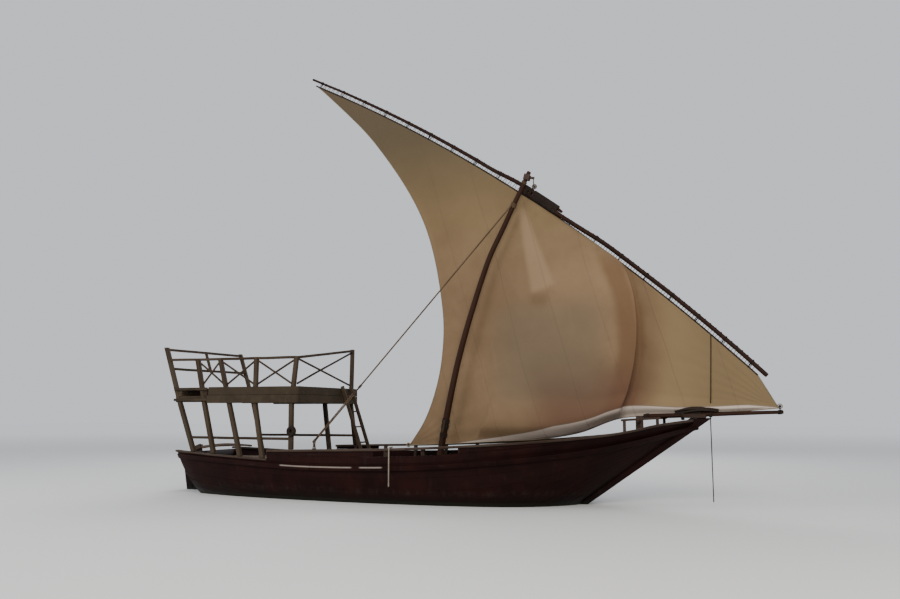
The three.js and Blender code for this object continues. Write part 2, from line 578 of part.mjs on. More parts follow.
// The head of the sail hangs below the yard on robands.
const headPoint = (u) => {
  const t = SAIL.headFrom + (SAIL.headTo - SAIL.headFrom) * u;
  return yardCentre(t, -SAIL.headDrop);
};
const LOWER_ROBANDS = [0.03, 0.09, 0.15, 0.21, 0.27, 0.33, 0.39, 0.447, 0.474];
const UPPER_ROBANDS = [0.52, 0.56, 0.61, 0.67, 0.73, 0.79, 0.85, 0.9, 0.945, 0.975];
const roband = (t, lift, grow) => (
  rod(yardCentre(t, lift), yardCentre(t, -SAIL.headDrop - 6 - grow), 8 + grow, 6)
);
const robands = (grow) => [
  LOWER_ROBANDS.map((t) => roband(t, lowerLift(t), grow)),
  UPPER_ROBANDS.map((t) => roband(t, upperLift(t), grow)),
];
const slingLifts = [lowerLift(SLING_AT), upperLift(SLING_AT)];
const toggleBall = yardCentre(SLING_AT, slingLifts[1] + WRAP.radius + TOGGLE.radius + 2 * TOGGLE.grommet - 5);
const grommet = (centre, radius) => ring(centre, at(0, 1, 0), radius + 0.9, TOGGLE.grommet, 20);
const sling = lashing(SLING_AT, slingLifts, WRAP.half, WRAP.radius)
  .subtract(upper(ROUND_FIT)).subtract(lower(ROUND_FIT))
  .subtract(ball(toggleBall, TOGGLE.radius + 5)).add(grommet(toggleBall, TOGGLE.radius));

// Masthead: collar and arm, the halyard's last length down to the toggle, and the stay's collar
const mastGrown = mast(ROUND_FIT);
const headAt = 0.982;
const mastheadBlock = collar(mastCurve, headAt, 62, 60, mastGrown);
const headCentre = mastCurve.getPointAt(headAt);
const halyardFoot = toggleBall.clone().add(at(0, -TOGGLE.reach, 0));
const halyardHead = at(halyardFoot.x, halyardFoot.y, headCentre.z);
piece('halyard', join([
  mastheadBlock, ball(halyardHead, 26),
  timber(headCentre, halyardHead, 40, 50, at(0, 0, 1)),
  rod(halyardHead, halyardFoot, 10, 8), ball(halyardFoot, 11), rod(halyardFoot, toggleBall, 10, 8),
  ball(toggleBall, TOGGLE.radius),
]).subtract(mastGrown), ropeFibre);
const stayFoot = at(...STAY.foot);
const stayEye = at(STAY.foot[0], STAY.foot[1], railTop(STAY.foot[0]) + FIT + 4);
const stayCollar = collar(mastCurve, 0.895, 60, 36, mastGrown);
const stayTop = mastCurve.getPointAt(0.895).add(at(-18, -47, 2));
piece('stay', join([
  stayCollar,
  rod(stayTop, stayFoot, STAY.radius),
  ball(stayFoot, 42),
  rod(stayFoot, stayEye.clone().add(at(0, 0, 12)), 14),
  rod(stayEye, stayEye.clone().add(at(0, 0, 14)), 34, 14),
]).subtract(mastGrown), ropeFibre);

// Sail: a cloth between the yard, the leech, the foot and the short luff
const leechCurve = new THREE.CatmullRomCurve3(LEECH.map(([x, z]) => at(x, LEECH_Y, z)));
const footCurve = new THREE.CatmullRomCurve3(FOOT.map((p) => at(...p)));
const foldX = (z) => FOLD.x - FOLD.bow * (z - FOLD.z) ** 2;
function flatPoint(u, v) {
  const [head, foot] = [headPoint(u), footCurve.getPointAt(u)];
  const luff = headPoint(0).lerp(at(...TACK), v);
  const leechTop = headPoint(1);
  const leech = leechCurve.getPointAt(v);
  leech.lerp(leechTop, Math.max(0, 1 - 6 * v));
  const corner = (a, b, share) => a.clone().lerp(b, share);
  const tops = corner(headPoint(0), headPoint(1), u);
  const bottoms = corner(at(...TACK), footCurve.getPointAt(1), u);
  return head.multiplyScalar(1 - v).addScaledVector(foot, v)
    .addScaledVector(luff, 1 - u).addScaledVector(leech, u)
    .addScaledVector(tops, v - 1).addScaledVector(bottoms, -v);
}
function foldShare(v) {
  let [low, high] = [0.05, 0.75];
  for (let i = 0; i < 24; i += 1) {
    const middle = (low + high) / 2;
    const p = flatPoint(middle, v);
    if (p.x > foldX(p.z)) low = middle;
    else high = middle;
  }
  return (low + high) / 2;
}
function sailPoint(column, v) {
  const fold = foldShare(v);
  const u = column < FOLD_COLUMN ? (fold * column) / FOLD_COLUMN
    : fold + ((1 - fold) * (column - FOLD_COLUMN)) / (1 - FOLD_COLUMN);
  const p = flatPoint(u, v);
  const full = Math.sin(Math.PI * v ** 1.16) ** 0.6;
  let share;
  if (column < FOLD_COLUMN) share = smooth(1 - (FOLD_COLUMN - column) / FOLD_COLUMN / BELLY.foldWidth);
  else share = Math.min(Math.max((p.x - mastX(p.z)) / Math.max(foldX(p.z) - mastX(p.z), BELLY.least), 0), 1);
  const crest = column < FOLD_COLUMN ? share : Math.sin((share * Math.PI) / 2) ** 1.2;
  const roll = smooth((v - 0.86) / 0.09) * (1 - smooth((v - 0.95) / 0.05));
  const inRoll = smooth(column / 0.1) * smooth((0.95 - column) / 0.15);
  p.x += BELLY.overhang * full * share ** 3;
  p.y -= BELLY.depth * full * crest + BELLY.footRoll * roll * inRoll * (column < 0.8 ? 1 : 0.3);
  return p;
}
function sailSolid() {
  const [columns, rows] = [SAIL_COLUMNS.length - 1, SAIL_ROWS.length - 1];
  const pick = (list, share) => list[Math.round(share * (list.length - 1))];
  return warpedBox(columns, rows, 1, (a, b, w) => {
    const [column, v] = [1 - pick(SAIL_COLUMNS, 1 - a), 1 - pick(SAIL_ROWS, 1 - b)];
    const [c, r] = [1 - column, 1 - v];
    const step = 0.004;
    const p = sailPoint(c, r);
    const alongRow = sailPoint(Math.min(c + step, 1), r).sub(sailPoint(Math.max(c - step, 0), r));
    const downColumn = sailPoint(c, Math.min(r + step, 1)).sub(sailPoint(c, Math.max(r - step, 0)));
    const normal = alongRow.cross(downColumn).normalize();
    return p.addScaledVector(normal, (w - 0.5) * 2 * SAIL.half);
  });
}
const clew = footCurve.getPointAt(1);
const sail = sailSolid();
const tackClear = ball(tackBall, TOGGLE.radius).add(rod(tackHook, tackBall, 16));
piece('sail', sail.subtract(join(robands(FIT).flat())).subtract(tackClear)
  .add(grommet(tackBall, TOGGLE.radius - 6)), canvas);
const [lowerRobands, upperRobands] = robands(0);
piece('yard_lower', join([lower(0), ...lashings, ...lowerRobands]), sparWood);
piece('yard_upper', join([upper(0), ...upperRobands]), sparWood);
piece('yard_sling', sling, ropeFibre);
const clewRing = ring(clew.clone().add(at(-26, 0, 4)), at(0, 1, 0), 20, 11);
const clewClear = join([-FIT, 0, FIT].map((off) => sail.translate([0, off, 0])));
piece('clew_strop', clewRing.subtract(clewClear), ropeFibre);

// Stern platform
const postLine = (side, post, z) => {
  const footY = side * (hullPoint(post.foot, 1, 0).y - 62);
  const share = (z - 780) / (KNEE_Z - 780);
  if (z < KNEE_Z) {
    return at(post.foot + (post.knee - post.foot) * share, footY + (side * 1060 - footY) * share, z);
  }
  const above = (z - KNEE_Z) / (post.topZ - KNEE_Z);
  return at(post.knee + (post.top - post.knee) * above, side * 1060, z);
};
const postSolid = (side, post) => {
  const footZ = sheer(post.foot) + QUARTER_CAP.thick + FIT;
  const onCap = post.foot > CAP.aft ? railTop(post.foot) + FIT : footZ;
  const cut = block(-5200, 0, -1700, 1700, 0, onCap + 5);
  return join([
    timber(postLine(side, post, onCap - 40), postLine(side, post, KNEE_Z + 9), POST, POST),
    timber(postLine(side, post, KNEE_Z), postLine(side, post, post.topZ), POST, POST),
  ]).subtract(cut);
};
const sidePoint = (side, x, z) => at(x, side * 1060, z);
const RAIL_SIZE = 46;
function sideFrame(side, posts) {
  const parts = posts.map((post) => postSolid(side, post));
  const lowFore = postLine(side, posts[posts.length - 1], SIDE_RAIL_Z);
  parts.push(timber(postLine(side, posts[0], SIDE_RAIL_Z), lowFore, RAIL_SIZE, RAIL_SIZE));
  parts.push(timber(sidePoint(side, PLATFORM.aft - 10, 1735), sidePoint(side, PLATFORM.fore - 40, 1735), 60, 110));
  if (side === STARBOARD) {
    const top = posts.map((post) => postLine(side, post, post.topZ - 20));
    for (let i = 1; i < top.length - 1; i += 1) parts.push(timber(top[i], top[i + 1], RAIL_SIZE, RAIL_SIZE));
    parts.push(timber(postLine(side, posts[0], 2465), top[1], RAIL_SIZE, RAIL_SIZE));
    for (const [aft, fore] of [[1, 2], [2, 3], [3, 4]]) {
      const [a, b] = [posts[aft], posts[fore]];
      parts.push(timber(postLine(side, a, 1980), postLine(side, b, 2440), 24, 34));
      parts.push(timber(postLine(side, a, 2440), postLine(side, b, 1980), 24, 34));
    }
  }
  return join(parts);
}
const frameFace = 1060 + POST / 2;
const outsideFaces = block(-5200, 0, frameFace, 1700, 1600, 1960).add(block(-5200, 0, -1700, -frameFace, 1600, 1960));
const starboardFrame = sideFrame(STARBOARD, STARBOARD_POSTS).subtract(outsideFaces);
const portFrame = sideFrame(PORT, PORT_POSTS).subtract(outsideFaces);
piece('platform_frame_starboard', starboardFrame, platformTimber);
piece('platform_frame_port', portFrame, platformTimber);
const beamPlaces = [PLATFORM.aft + 90, -4050, -3300, -2620, PLATFORM.fore - 60];
const floorParts = [block(PLATFORM.aft, PLATFORM.fore, -1010, 1010, FLOOR_Z - PLATFORM.board, FLOOR_Z)];
for (const x of beamPlaces) {
  floorParts.push(block(x - 38, x + 38, -frameFace, frameFace, 1790 + FIT, FLOOR_Z - PLATFORM.board + 4));
}
const grownFrame = (side, posts) => join(posts.map((post) => {
  const wide = POST + 2 * FIT;
  return timber(postLine(side, post, KNEE_Z), postLine(side, post, post.topZ + FIT), wide, wide);
}));
const platformFloor = join(floorParts).subtract(grownFrame(STARBOARD, STARBOARD_POSTS))
  .subtract(grownFrame(PORT, PORT_POSTS));
piece('platform_floor', platformFloor, platformTimber);
const fasciaY = frameFace + FIT;
for (const [side, name] of [[STARBOARD, 'starboard'], [PORT, 'port']]) {
  const [y0, y1] = side === PORT ? [fasciaY, fasciaY + FASCIA.thick] : [-fasciaY - FASCIA.thick, -fasciaY];
  const boards = join([
    block(FASCIA.aft, PLATFORM.fore, y0, y1, FASCIA.low, FASCIA.high),
    block(PLATFORM.aft - 30, FASCIA.aft + 5, y0, y1, 1895, 1945),
    block(PLATFORM.aft - 30, FASCIA.aft + 5, y0, y1, 1700, 1745),
  ]);
  piece(`fascia_${name}`, boards, fasciaPaint);
}
const frontX = PLATFORM.fore + FIT;
piece('fascia_front', block(frontX, frontX + FASCIA.thick, -fasciaY - FASCIA.thick, fasciaY + FASCIA.thick,
  FASCIA.low, FASCIA.high), fasciaPaint);
const railX = -2165;
const railEnd = 1060 - POST / 2 - FIT;
const beyondPosts = block(-5200, 0, -1700, -railEnd, 0, 3000).add(block(-5200, 0, railEnd, 1700, 0, 3000));
piece('platform_front_rail', join([
  timber(at(railX, -railEnd, 2460), at(railX, railEnd, 2700), RAIL_SIZE, RAIL_SIZE, at(1, 0, 0)),
  timber(at(railX, -railEnd, 2000), at(railX, railEnd, 2660), 24, 34, at(1, 0, 0)),
  timber(at(railX, -railEnd, 2430), at(railX, railEnd, 2000), 24, 34, at(1, 0, 0)),
]).subtract(beyondPosts), platformTimber);
const sternRail = (z) => (
  timber(postLine(STARBOARD, STARBOARD_POSTS[0], z), postLine(PORT, PORT_POSTS[0], z), RAIL_SIZE, RAIL_SIZE,
    at(1, 0, 0))
);
const sternMiddle = (z) => (
  postLine(STARBOARD, STARBOARD_POSTS[0], z).lerp(postLine(PORT, PORT_POSTS[0], z), 0.5)
);
piece('stern_rail', join([
  sternRail(2660), sternRail(2300), timber(sternMiddle(2280), sternMiddle(2680), RAIL_SIZE, RAIL_SIZE),
]).subtract(beyondPosts), platformTimber);

// Ladder from the floor boards to the front of the platform
const ladderTop = frontX + FASCIA.thick + 34;
const ladderFoot = FLOOR.low + FLOOR.thick + FIT;
const ladderX = (z) => ladderTop + 2 + ((1900 - z) * 720) / (1900 - ladderFoot);
const ladderParts = [480, 820].map((y) => timber(at(ladderX(ladderFoot - 40), y, ladderFoot - 40),
  at(ladderX(1990), y, 1990), 40, 64));
for (let z = 60; z < 1900; z += 290) {
  ladderParts.push(timber(at(ladderX(z), 480, z), at(ladderX(z), 820, z), 56, 26, at(1, 0, 0)));
}
const ladder = join(ladderParts).subtract(block(-3000, 0, 0, 1700, -900, ladderFoot));
piece('ladder', ladder.subtract(block(-3000, frontX + FASCIA.thick + FIT, 0, 1700, 0, 3000)), platformTimber);

// Rudder on the raked axis
const rudderTurn = new THREE.Matrix4().makeRotationY(-RUDDER_RAKE)
  .setPosition(RUDDER_AXIS_X, 0, 0);
const onAxis = (x, y, z) => at(x, y, z).applyMatrix4(rudderTurn);
const bladeShape = new THREE.Shape(RUDDER_BLADE.map(([x, z]) => new THREE.Vector2(x, z)));
const bladeSlab = new THREE.ExtrudeGeometry(bladeShape, { depth: 2 * BLADE_HALF, bevelEnabled: false });
bladeSlab.rotateX(Math.PI / 2).translate(0, BLADE_HALF, 0).applyMatrix4(rudderTurn);
const cross = at(0, 1, 0);
const rudderParts = [solid(bladeSlab)];
const gudgeons = [];
for (const z of PINTLE.places) {
  rudderParts.push(rod(onAxis(0, 0, z - 34), onAxis(0, 0, z + 74), PINTLE.radius, 12));
  rudderParts.push(timber(onAxis(4, 0, z + 52), onAxis(-150, 0, z + 52), 2 * BLADE_HALF + 12, 34, cross));
  rudderParts.push(rod(onAxis(0, 0, z + 35), onAxis(0, 0, z + 69), PINTLE.eye, 12));
  const eye = rod(onAxis(0, 0, z - 26), onAxis(0, 0, z + 26), PINTLE.eye, 12);
  const strap = timber(onAxis(0, 0, z), onAxis(160, 0, z), 2 * BACKBONE_HALF + 14, 52, cross);
  gudgeons.push(eye.add(strap.subtract(timber(onAxis(-60, 0, z), onAxis(PINTLE.eye - 4, 0, z), 200, 80, cross)))
    .add(timber(onAxis(0, 0, z), onAxis(60, 0, z), 34, 52, cross)));
}
const bores = join(PINTLE.places.map((z) => (
  rod(onAxis(0, 0, z - 90), onAxis(0, 0, z + 33), PINTLE.radius + ROUND_FIT, 12)
)));
piece('rudder', join(rudderParts), hullPaint);
const notHull = profile(sternPostProfile(FIT), -grownReach, grownReach)
  .add(foreOfStern(-FIT).intersect(block(-5200, 0, -1700, 1700, -900, 2000)));
gudgeons.forEach((gudgeon, i) => {
  piece(`gudgeon_${i + 1}`, gudgeon.subtract(bores).subtract(notHull), iron);
});
const tillerFrom = onAxis(-125, 0, TILLER.z);
const tillerTo = at(tillerFrom.x + TILLER.length, 0, tillerFrom.z + TILLER.rise);
const tillerCurve = new THREE.QuadraticBezierCurve3(
  tillerFrom, at(tillerFrom.x + TILLER.length * 0.5, 0, tillerFrom.z + TILLER.rise + 50), tillerTo,
);
const headClear = timber(onAxis(-200, 0, TILLER.z), onAxis(-30 + FIT, 0, TILLER.z), 2 * BLADE_HALF + 2 * FIT, 300, cross);
const tillerStock = spar(tillerCurve, (t) => 34 - 12 * t, 10, 8);
const cheeks = timber(onAxis(-150, 0, TILLER.z), onAxis(-10, 0, TILLER.z), 2 * BLADE_HALF + 44, 80, cross);
piece('tiller', tillerStock.add(cheeks).subtract(headClear), bareTimber);

// Free ropes
function freeRope(points, radius, steps) {
  const section = new THREE.Shape();
  const sides = 8;
  for (let i = 0; i < sides; i += 1) {
    const turn = (2 * Math.PI * i) / sides;
    const corner = [radius * Math.cos(turn), radius * Math.sin(turn)];
    if (i === 0) section.moveTo(...corner);
    else section.lineTo(...corner);
  }
  const extrudePath = new THREE.CatmullRomCurve3(points.map((p) => at(...p)));
  return solid(new THREE.ExtrudeGeometry(section, { steps, bevelEnabled: false, extrudePath }));
}
piece('side_rope', freeRope(SIDE_ROPE, SIDE_ROPE_RADIUS, 28), ropeFibre);
piece('bow_line', freeRope(BOW_LINE, BOW_LINE_RADIUS, 30), ropeFibre);

export default dhow;
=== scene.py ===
from contextlib import contextmanager
from functools import cache
import math
import random

import bpy
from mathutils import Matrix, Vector, noise


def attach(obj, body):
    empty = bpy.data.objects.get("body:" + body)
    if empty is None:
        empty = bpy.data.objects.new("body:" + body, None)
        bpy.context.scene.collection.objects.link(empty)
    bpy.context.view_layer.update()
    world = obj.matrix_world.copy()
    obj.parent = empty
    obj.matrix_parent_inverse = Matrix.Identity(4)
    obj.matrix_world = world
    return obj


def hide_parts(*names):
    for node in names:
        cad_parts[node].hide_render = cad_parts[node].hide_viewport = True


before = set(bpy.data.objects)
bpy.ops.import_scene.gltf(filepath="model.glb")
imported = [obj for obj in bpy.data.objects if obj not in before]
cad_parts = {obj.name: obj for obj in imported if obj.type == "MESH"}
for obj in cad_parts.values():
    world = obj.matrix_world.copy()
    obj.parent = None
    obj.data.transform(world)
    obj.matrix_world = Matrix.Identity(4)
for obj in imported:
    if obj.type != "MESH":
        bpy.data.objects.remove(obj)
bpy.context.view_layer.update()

SEED = 41
chance = random.Random(SEED)
noise.seed_set(SEED)

HULL_BODY = "hull"
RUDDER_BODY = "rudder"
YARD_BODY = "yard"
STARBOARD = -1
PORT = 1
SIDES = ((STARBOARD, "starboard"), (PORT, "port"))
ALONG_X = (1, 0, 0)
ALONG_Y = (0, 1, 0)
ALONG_Z = (0, 0, 1)

# Camera

CAMERA_PLACE = (5.8817, -14.5, 1.5)
CAMERA_HEADING = math.radians(21)
# How far the horizon lies under the middle of the picture, and the focal length, both in pixels
HORIZON_DROP = 112.5
FOCAL_LENGTH = 875
CAMERA_PITCH = math.atan(HORIZON_DROP / FOCAL_LENGTH)

camera_data = bpy.data.cameras.new("camera")
camera_data.sensor_width = 36
camera_data.lens = 35
camera_data.clip_end = 200
camera = bpy.data.objects.new("camera", camera_data)
bpy.context.scene.collection.objects.link(camera)
camera.location = CAMERA_PLACE
look = Vector((
    -math.sin(CAMERA_HEADING) * math.cos(CAMERA_PITCH),
    math.cos(CAMERA_HEADING) * math.cos(CAMERA_PITCH),
    math.sin(CAMERA_PITCH),
))
camera.rotation_euler = look.to_track_quat("-Z", "Y").to_euler()
bpy.context.scene.camera = camera


# Materials

class Wire:
    """One value inside a finish, which takes part in sums as a number does."""

    def __init__(self, finish, socket):
        self.finish = finish
        self.socket = socket

    def math(self, operation, *values):
        return self.finish.node("ShaderNodeMath", {"operation": operation}, values or (self,))

    def __add__(self, other):
        return self.math("ADD", self, other)

    def __sub__(self, other):
        return self.math("SUBTRACT", self, other)

    def __rsub__(self, other):
        return self.math("SUBTRACT", other, self)

    def __mul__(self, other):
        return self.math("MULTIPLY", self, other)

    def __truediv__(self, other):
        return self.math("DIVIDE", self, other)

    def __rtruediv__(self, other):
        return self.math("DIVIDE", other, self)

    __radd__ = __add__
    __rmul__ = __mul__

    def step(self, low, high):
        """0 below low, 1 above high, and smooth between."""
        return self.finish.node("ShaderNodeMapRange", {"interpolation_type": "SMOOTHSTEP"},
                                {0: self, 1: low, 2: high})

    def band(self, low, high, soft):
        """1 between low and high, 0 outside, with soft edges."""
        return self.step(low - soft, low + soft) * (1 - self.step(high - soft, high + soft))

    def wave(self, pitch):
        """From 0 to 1 and back over each pitch."""
        return (self * (2 * math.pi / pitch)).math("SINE") * 0.5 + 0.5


class Finish:
    """A material, made node by node, and the slot that it belongs to."""

    def __init__(self, name, slot=None):
        self.slot = slot
        self.material = bpy.data.materials.new(name)
        self.material.use_nodes = True
        self.tree = self.material.node_tree
        self.shader = self.tree.nodes["Principled BSDF"]
        self.spot = self.node("ShaderNodeTexCoord", out="Object")
        self.x, self.y, self.z = self.parts(self.spot)

    def node(self, kind, settings=None, values=(), out=0):
        made = self.tree.nodes.new(kind)
        for key, value in (settings or {}).items():
            setattr(made, key, value)
        for key, value in values.items() if isinstance(values, dict) else enumerate(values):
            self.plug(made.inputs[key], value)
        return Wire(self, made.outputs[out])

    def plug(self, socket, value):
        if isinstance(value, Wire):
            self.tree.links.new(value.socket, socket)
        elif isinstance(value, tuple) and len(value) == 3 and socket.type == "RGBA":
            socket.default_value = (*value, 1)
        else:
            socket.default_value = value

    def feed(self, name, value):
        self.plug(self.shader.inputs[name], value)

    def parts(self, vector):
        split = self.tree.nodes.new("ShaderNodeSeparateXYZ")
        self.plug(split.inputs[0], vector)
        return [Wire(self, socket) for socket in split.outputs]

    def lay(self):
        """Along and across the piece's own length, and the tone that sets each of its parts apart."""
        self.uv = self.node("ShaderNodeTexCoord", out="UV")
        u, v, _ = self.parts(self.uv)
        return u, v, self.node("ShaderNodeAttribute", {"attribute_name": "tone"}, out=2)

    def point(self, x, y, z=0.0):
        return self.node("ShaderNodeCombineXYZ", {}, (x, y, z))

    def stretch(self, scale):
        return self.node("ShaderNodeVectorMath", {"operation": "MULTIPLY"}, (self.spot, scale))

    def cloud(self, vector, scale, detail=3.0, rough=0.55):
        return self.node("ShaderNodeTexNoise", {}, {
            "Vector": vector, "Scale": scale, "Detail": detail, "Roughness": rough,
        })

    def mix(self, share, first, second):
        return self.node("ShaderNodeMix", {"data_type": "RGBA"}, {0: share, 6: first, 7: second}, out=2)

    def coats(self, color, *coats):
        """A colour under coats of other colours, each with the share that it covers."""
        for share, tint in coats:
            color = self.mix(share, color, tint)
        return color

    def within(self, corners, soft):
        """1 inside a shape in the boat's x and z, with its corners in turn, and 0 outside."""
        inside = 1.0
        for (x0, z0), (x1, z1) in zip(corners, corners[1:] + corners[:1]):
            size = math.hypot(x1 - x0, z1 - z0)
            off = (self.z - z0) * ((x1 - x0) / size) - (self.x - x0) * ((z1 - z0) / size)
            inside = off.step(-soft, soft) * inside
        return inside

    def surface(self, color, roughness, specular=0.5):
        self.feed("Base Color", color)
        self.feed("Roughness", roughness)
        self.feed("Specular IOR Level", specular)

    def bump(self, height, strength, distance):
        self.feed("Normal", self.node("ShaderNodeBump", {}, {
            "Strength": strength, "Distance": distance, "Height": height,
        }))


def scaled(color, factor):
    return tuple(value * factor for value in color)


def grain_finish(name, slot, dark, light, grey, roughness=0.8, weathering=0.5, round_bar=False):
    """Weathered timber. The grain runs along the piece's own length."""
    finish = Finish(name, slot)
    u, v, tone = finish.lay()
    shift = tone * 37.0
    if round_bar:
        turn = v * (2 * math.pi)
        across, around = turn.math("COSINE"), turn.math("SINE")
        along = finish.point(u * 1.3 + shift, across * 2.2, around * 2.2)
        wide = finish.point(u * 1.2 + shift, across * 0.5, around * 0.5)
    else:
        along = finish.point(u * 1.1 + shift, v * 26.0 + shift, tone * 9.0)
        wide = finish.point(u * 0.9 + shift, v * 3.0, tone * 5.0)
    fibres = finish.cloud(along, 2.2, 6.0, 0.62)
    cracks = finish.cloud(along, 0.8, 4.0, 0.7).step(0.62, 0.72)
    stains = finish.cloud(wide, 1.6, 4.0, 0.6).step(0.38, 0.66)
    pores = finish.cloud(finish.spot, 90.0, 2.0)
    color = finish.coats(
        finish.mix(fibres.step(0.35, 0.68), dark, light),
        (stains * weathering + tone * 0.25, grey),
        (cracks * 0.75, scaled(dark, 0.3)),
        ((1 - tone) * 0.35, scaled(dark, 0.55)),
    )
    finish.surface(color, fibres * 0.2 + (roughness - 0.12) + stains * 0.06, 0.13)
    finish.bump(fibres * 0.7 + pores * 0.15 - cracks * 1.2, 0.75, 0.0016)
    return finish


def hull_finish(name, lined=False):
    """Worn dark maroon paint over planks, slimed at the waterline, and lined with worn white if asked."""
    finish = Finish(name, "hull_paint")
    u, v, tone = finish.lay()
    shift = tone * 23.0
    fibres = finish.cloud(finish.point(u * 1.2 + shift, v * 24.0, shift), 2.0, 5.0, 0.6)
    patches = finish.cloud(finish.spot, 2.4, 5.0, 0.6)
    scuffs = finish.cloud(finish.stretch((0.5, 0.5, 5.0)), 3.5, 6.0, 0.7)
    runs = finish.cloud(finish.stretch((7.0, 7.0, 0.35)), 2.0, 4.0, 0.6)
    worn = scuffs.step(0.63, 0.72)
    wet = 1 - (finish.z + patches * 0.14).step(0.1, 0.32)
    slime = (finish.z + scuffs * 0.06).band(0.02, 0.09, 0.025)
    salt = (finish.z + scuffs * 0.1).band(0.22, 0.3, 0.04)
    color = finish.coats(
        finish.mix(patches.step(0.34, 0.7), (0.0085, 0.0019, 0.0015), (0.02, 0.0046, 0.0032)),
        (tone * 0.5, (0.014, 0.005, 0.004)),
        (fibres.step(0.55, 0.75) * 0.45, (0.007, 0.003, 0.0026)),
        (runs.step(0.56, 0.74) * 0.3, (0.03, 0.016, 0.012)),
        (worn * 0.5, (0.055, 0.036, 0.027)),
        (wet * 0.8, (0.007, 0.005, 0.0045)),
        (slime * 0.5, (0.017, 0.02, 0.012)),
        (salt * runs.step(0.4, 0.7) * 0.18, (0.06, 0.045, 0.038)),
        # Darker towards the bow
        (finish.x.step(0.8, 3.4) * 0.4, (0.0045, 0.0016, 0.0012)),
    )
    if lined:
        chips = finish.cloud(finish.stretch((2.6, 2.6, 9.0)), 3.0, 5.0, 0.65)
        length = finish.x.band(-2.3, -0.9, 0.03) + finish.x.band(-0.74, -0.34, 0.03)
        line = length * v.band(0.048, 0.071, 0.004) * (1 - chips.step(0.6, 0.7) * 0.85)
        color = finish.coats(color, (line * 0.9, (0.27, 0.225, 0.19)),
                             (line * chips.step(0.42, 0.62) * 0.5, (0.17, 0.14, 0.125)))
    finish.surface(color, 0.5 + patches * 0.2 + worn * 0.15 - wet * 0.22, 0.08)
    finish.bump(fibres * 0.6 - worn * 0.8 + patches * 0.3, 0.7, 0.002)
    return finish


PANEL_WIDTH = 0.78
WEAVE_PITCH = 0.0065
# Corners of the painted highlight below the masthead, where the cloth bulges round the mast, as x and z
MASTHEAD_HIGHLIGHT = [(1.66, 5.12), (1.57, 5.02), (1.86, 3.53), (2.29, 3.64)]


def canvas_finish():
    """Old cotton sail cloth: panels sewn side by side, stains, a pale foot, a painted highlight below the
    masthead, and painted shade and light about the fold and the foot.
    """
    finish = Finish("sail_canvas", "canvas")
    u, v, tone = finish.lay()
    x, z = finish.x, finish.z
    panel = (u + finish.cloud(finish.uv, 0.45, 2.0) * 0.12) / PANEL_WIDTH
    shade = finish.node("ShaderNodeTexWhiteNoise", {"noise_dimensions": "1D"},
                        {"W": panel.math("FLOOR") + 3.0})
    across = panel.math("FRACT")
    seam = across.step(0.955, 0.97) * (1 - across.step(0.985, 0.999))
    stains = finish.cloud(finish.uv, 0.55, 5.0, 0.6)
    blotches = finish.cloud(finish.uv, 2.3, 6.0, 0.68)
    streaks = finish.cloud(finish.point(u * 6.0, v * 0.6), 1.2, 5.0, 0.6)
    weave_u, weave_v = u.wave(WEAVE_PITCH), v.wave(WEAVE_PITCH)
    behind_fold = 3.66 - (z - 2.75) * (z - 2.75) * 0.2 - x + blotches * 0.12
    # Painted shade: a dark band just aft of the fold, where the belly turns away from the light
    fold_shade = behind_fold.band(0.015, 0.363, 0.09) * z.band(1.35, 4.1, 0.3)
    # Painted shade: the lower belly by the fold made darker and redder
    ruddy_shade = x.band(1.9, 3.7, 0.45) * z.band(0.9, 2.15, 0.3)
    cool = x.band(1.2, 3.1, 0.4) * z.band(1.7, 3.3, 0.3)
    smudge = (x - 2.0).band(-0.18, 0.16, 0.1) * (z - 3.4).band(-0.1, 0.1, 0.08)
    # The tone is one half at the upper edge of the pale strip along the foot, where the crease's shadow is
    # painted
    pale_foot, foot_crease_shadow = 1 - tone.step(0.47, 0.53), tone.band(0.49, 0.515, 0.008)
    color = finish.coats(
        finish.mix(stains.step(0.3, 0.72), (0.152, 0.096, 0.05), (0.217, 0.142, 0.078)),
        (shade * 0.16, (0.16, 0.109, 0.062)),
        (blotches.step(0.56, 0.74) * 0.3, (0.114, 0.069, 0.037)),
        (streaks.step(0.55, 0.78) * 0.2, (0.251, 0.175, 0.104)),
        # Painted shade aft of the fold
        (fold_shade * 0.65, (0.105, 0.052, 0.024)),
        # Painted shade, reddish, low on the belly
        (ruddy_shade * 0.7, (0.12, 0.058, 0.036)),
        (cool * 0.5, (0.12, 0.096, 0.064)),
        (z.step(3.4, 6.2) * 0.6, (0.133, 0.096, 0.042)),
        (z.step(4.9, 6.9) * 0.75, (0.066, 0.052, 0.033)),
        # Painted light: the cloth forward of the fold made lighter
        ((1 - behind_fold.step(-0.5, 0.0)) * 0.65, (0.245, 0.17, 0.088)),
        (x.step(3.95, 4.9) * 0.6, (0.135, 0.095, 0.047)),
        (smudge * 0.4, (0.091, 0.053, 0.025)),
        (pale_foot * 0.85, (0.5, 0.42, 0.355)),
        # Painted shadow under the crease above the pale strip
        (foot_crease_shadow * 0.55, (0.07, 0.045, 0.028)),
        # Painted highlight below the masthead
        (finish.within(MASTHEAD_HIGHLIGHT, 0.06) * 0.6, (0.265, 0.18, 0.105)),
        (seam * 0.13, (0.091, 0.059, 0.034)),
        (weave_u * weave_v * 0.08, (0.091, 0.059, 0.034)),
    )
    finish.surface(color, 0.86 + blotches * 0.1, 0.2)
    finish.bump((weave_u + weave_v) * 0.1 + seam * 1.6 + blotches * 0.5 + streaks * 0.4, 0.6, 0.0022)
    return finish


LAY_PITCH = 0.05
STRANDS = 3


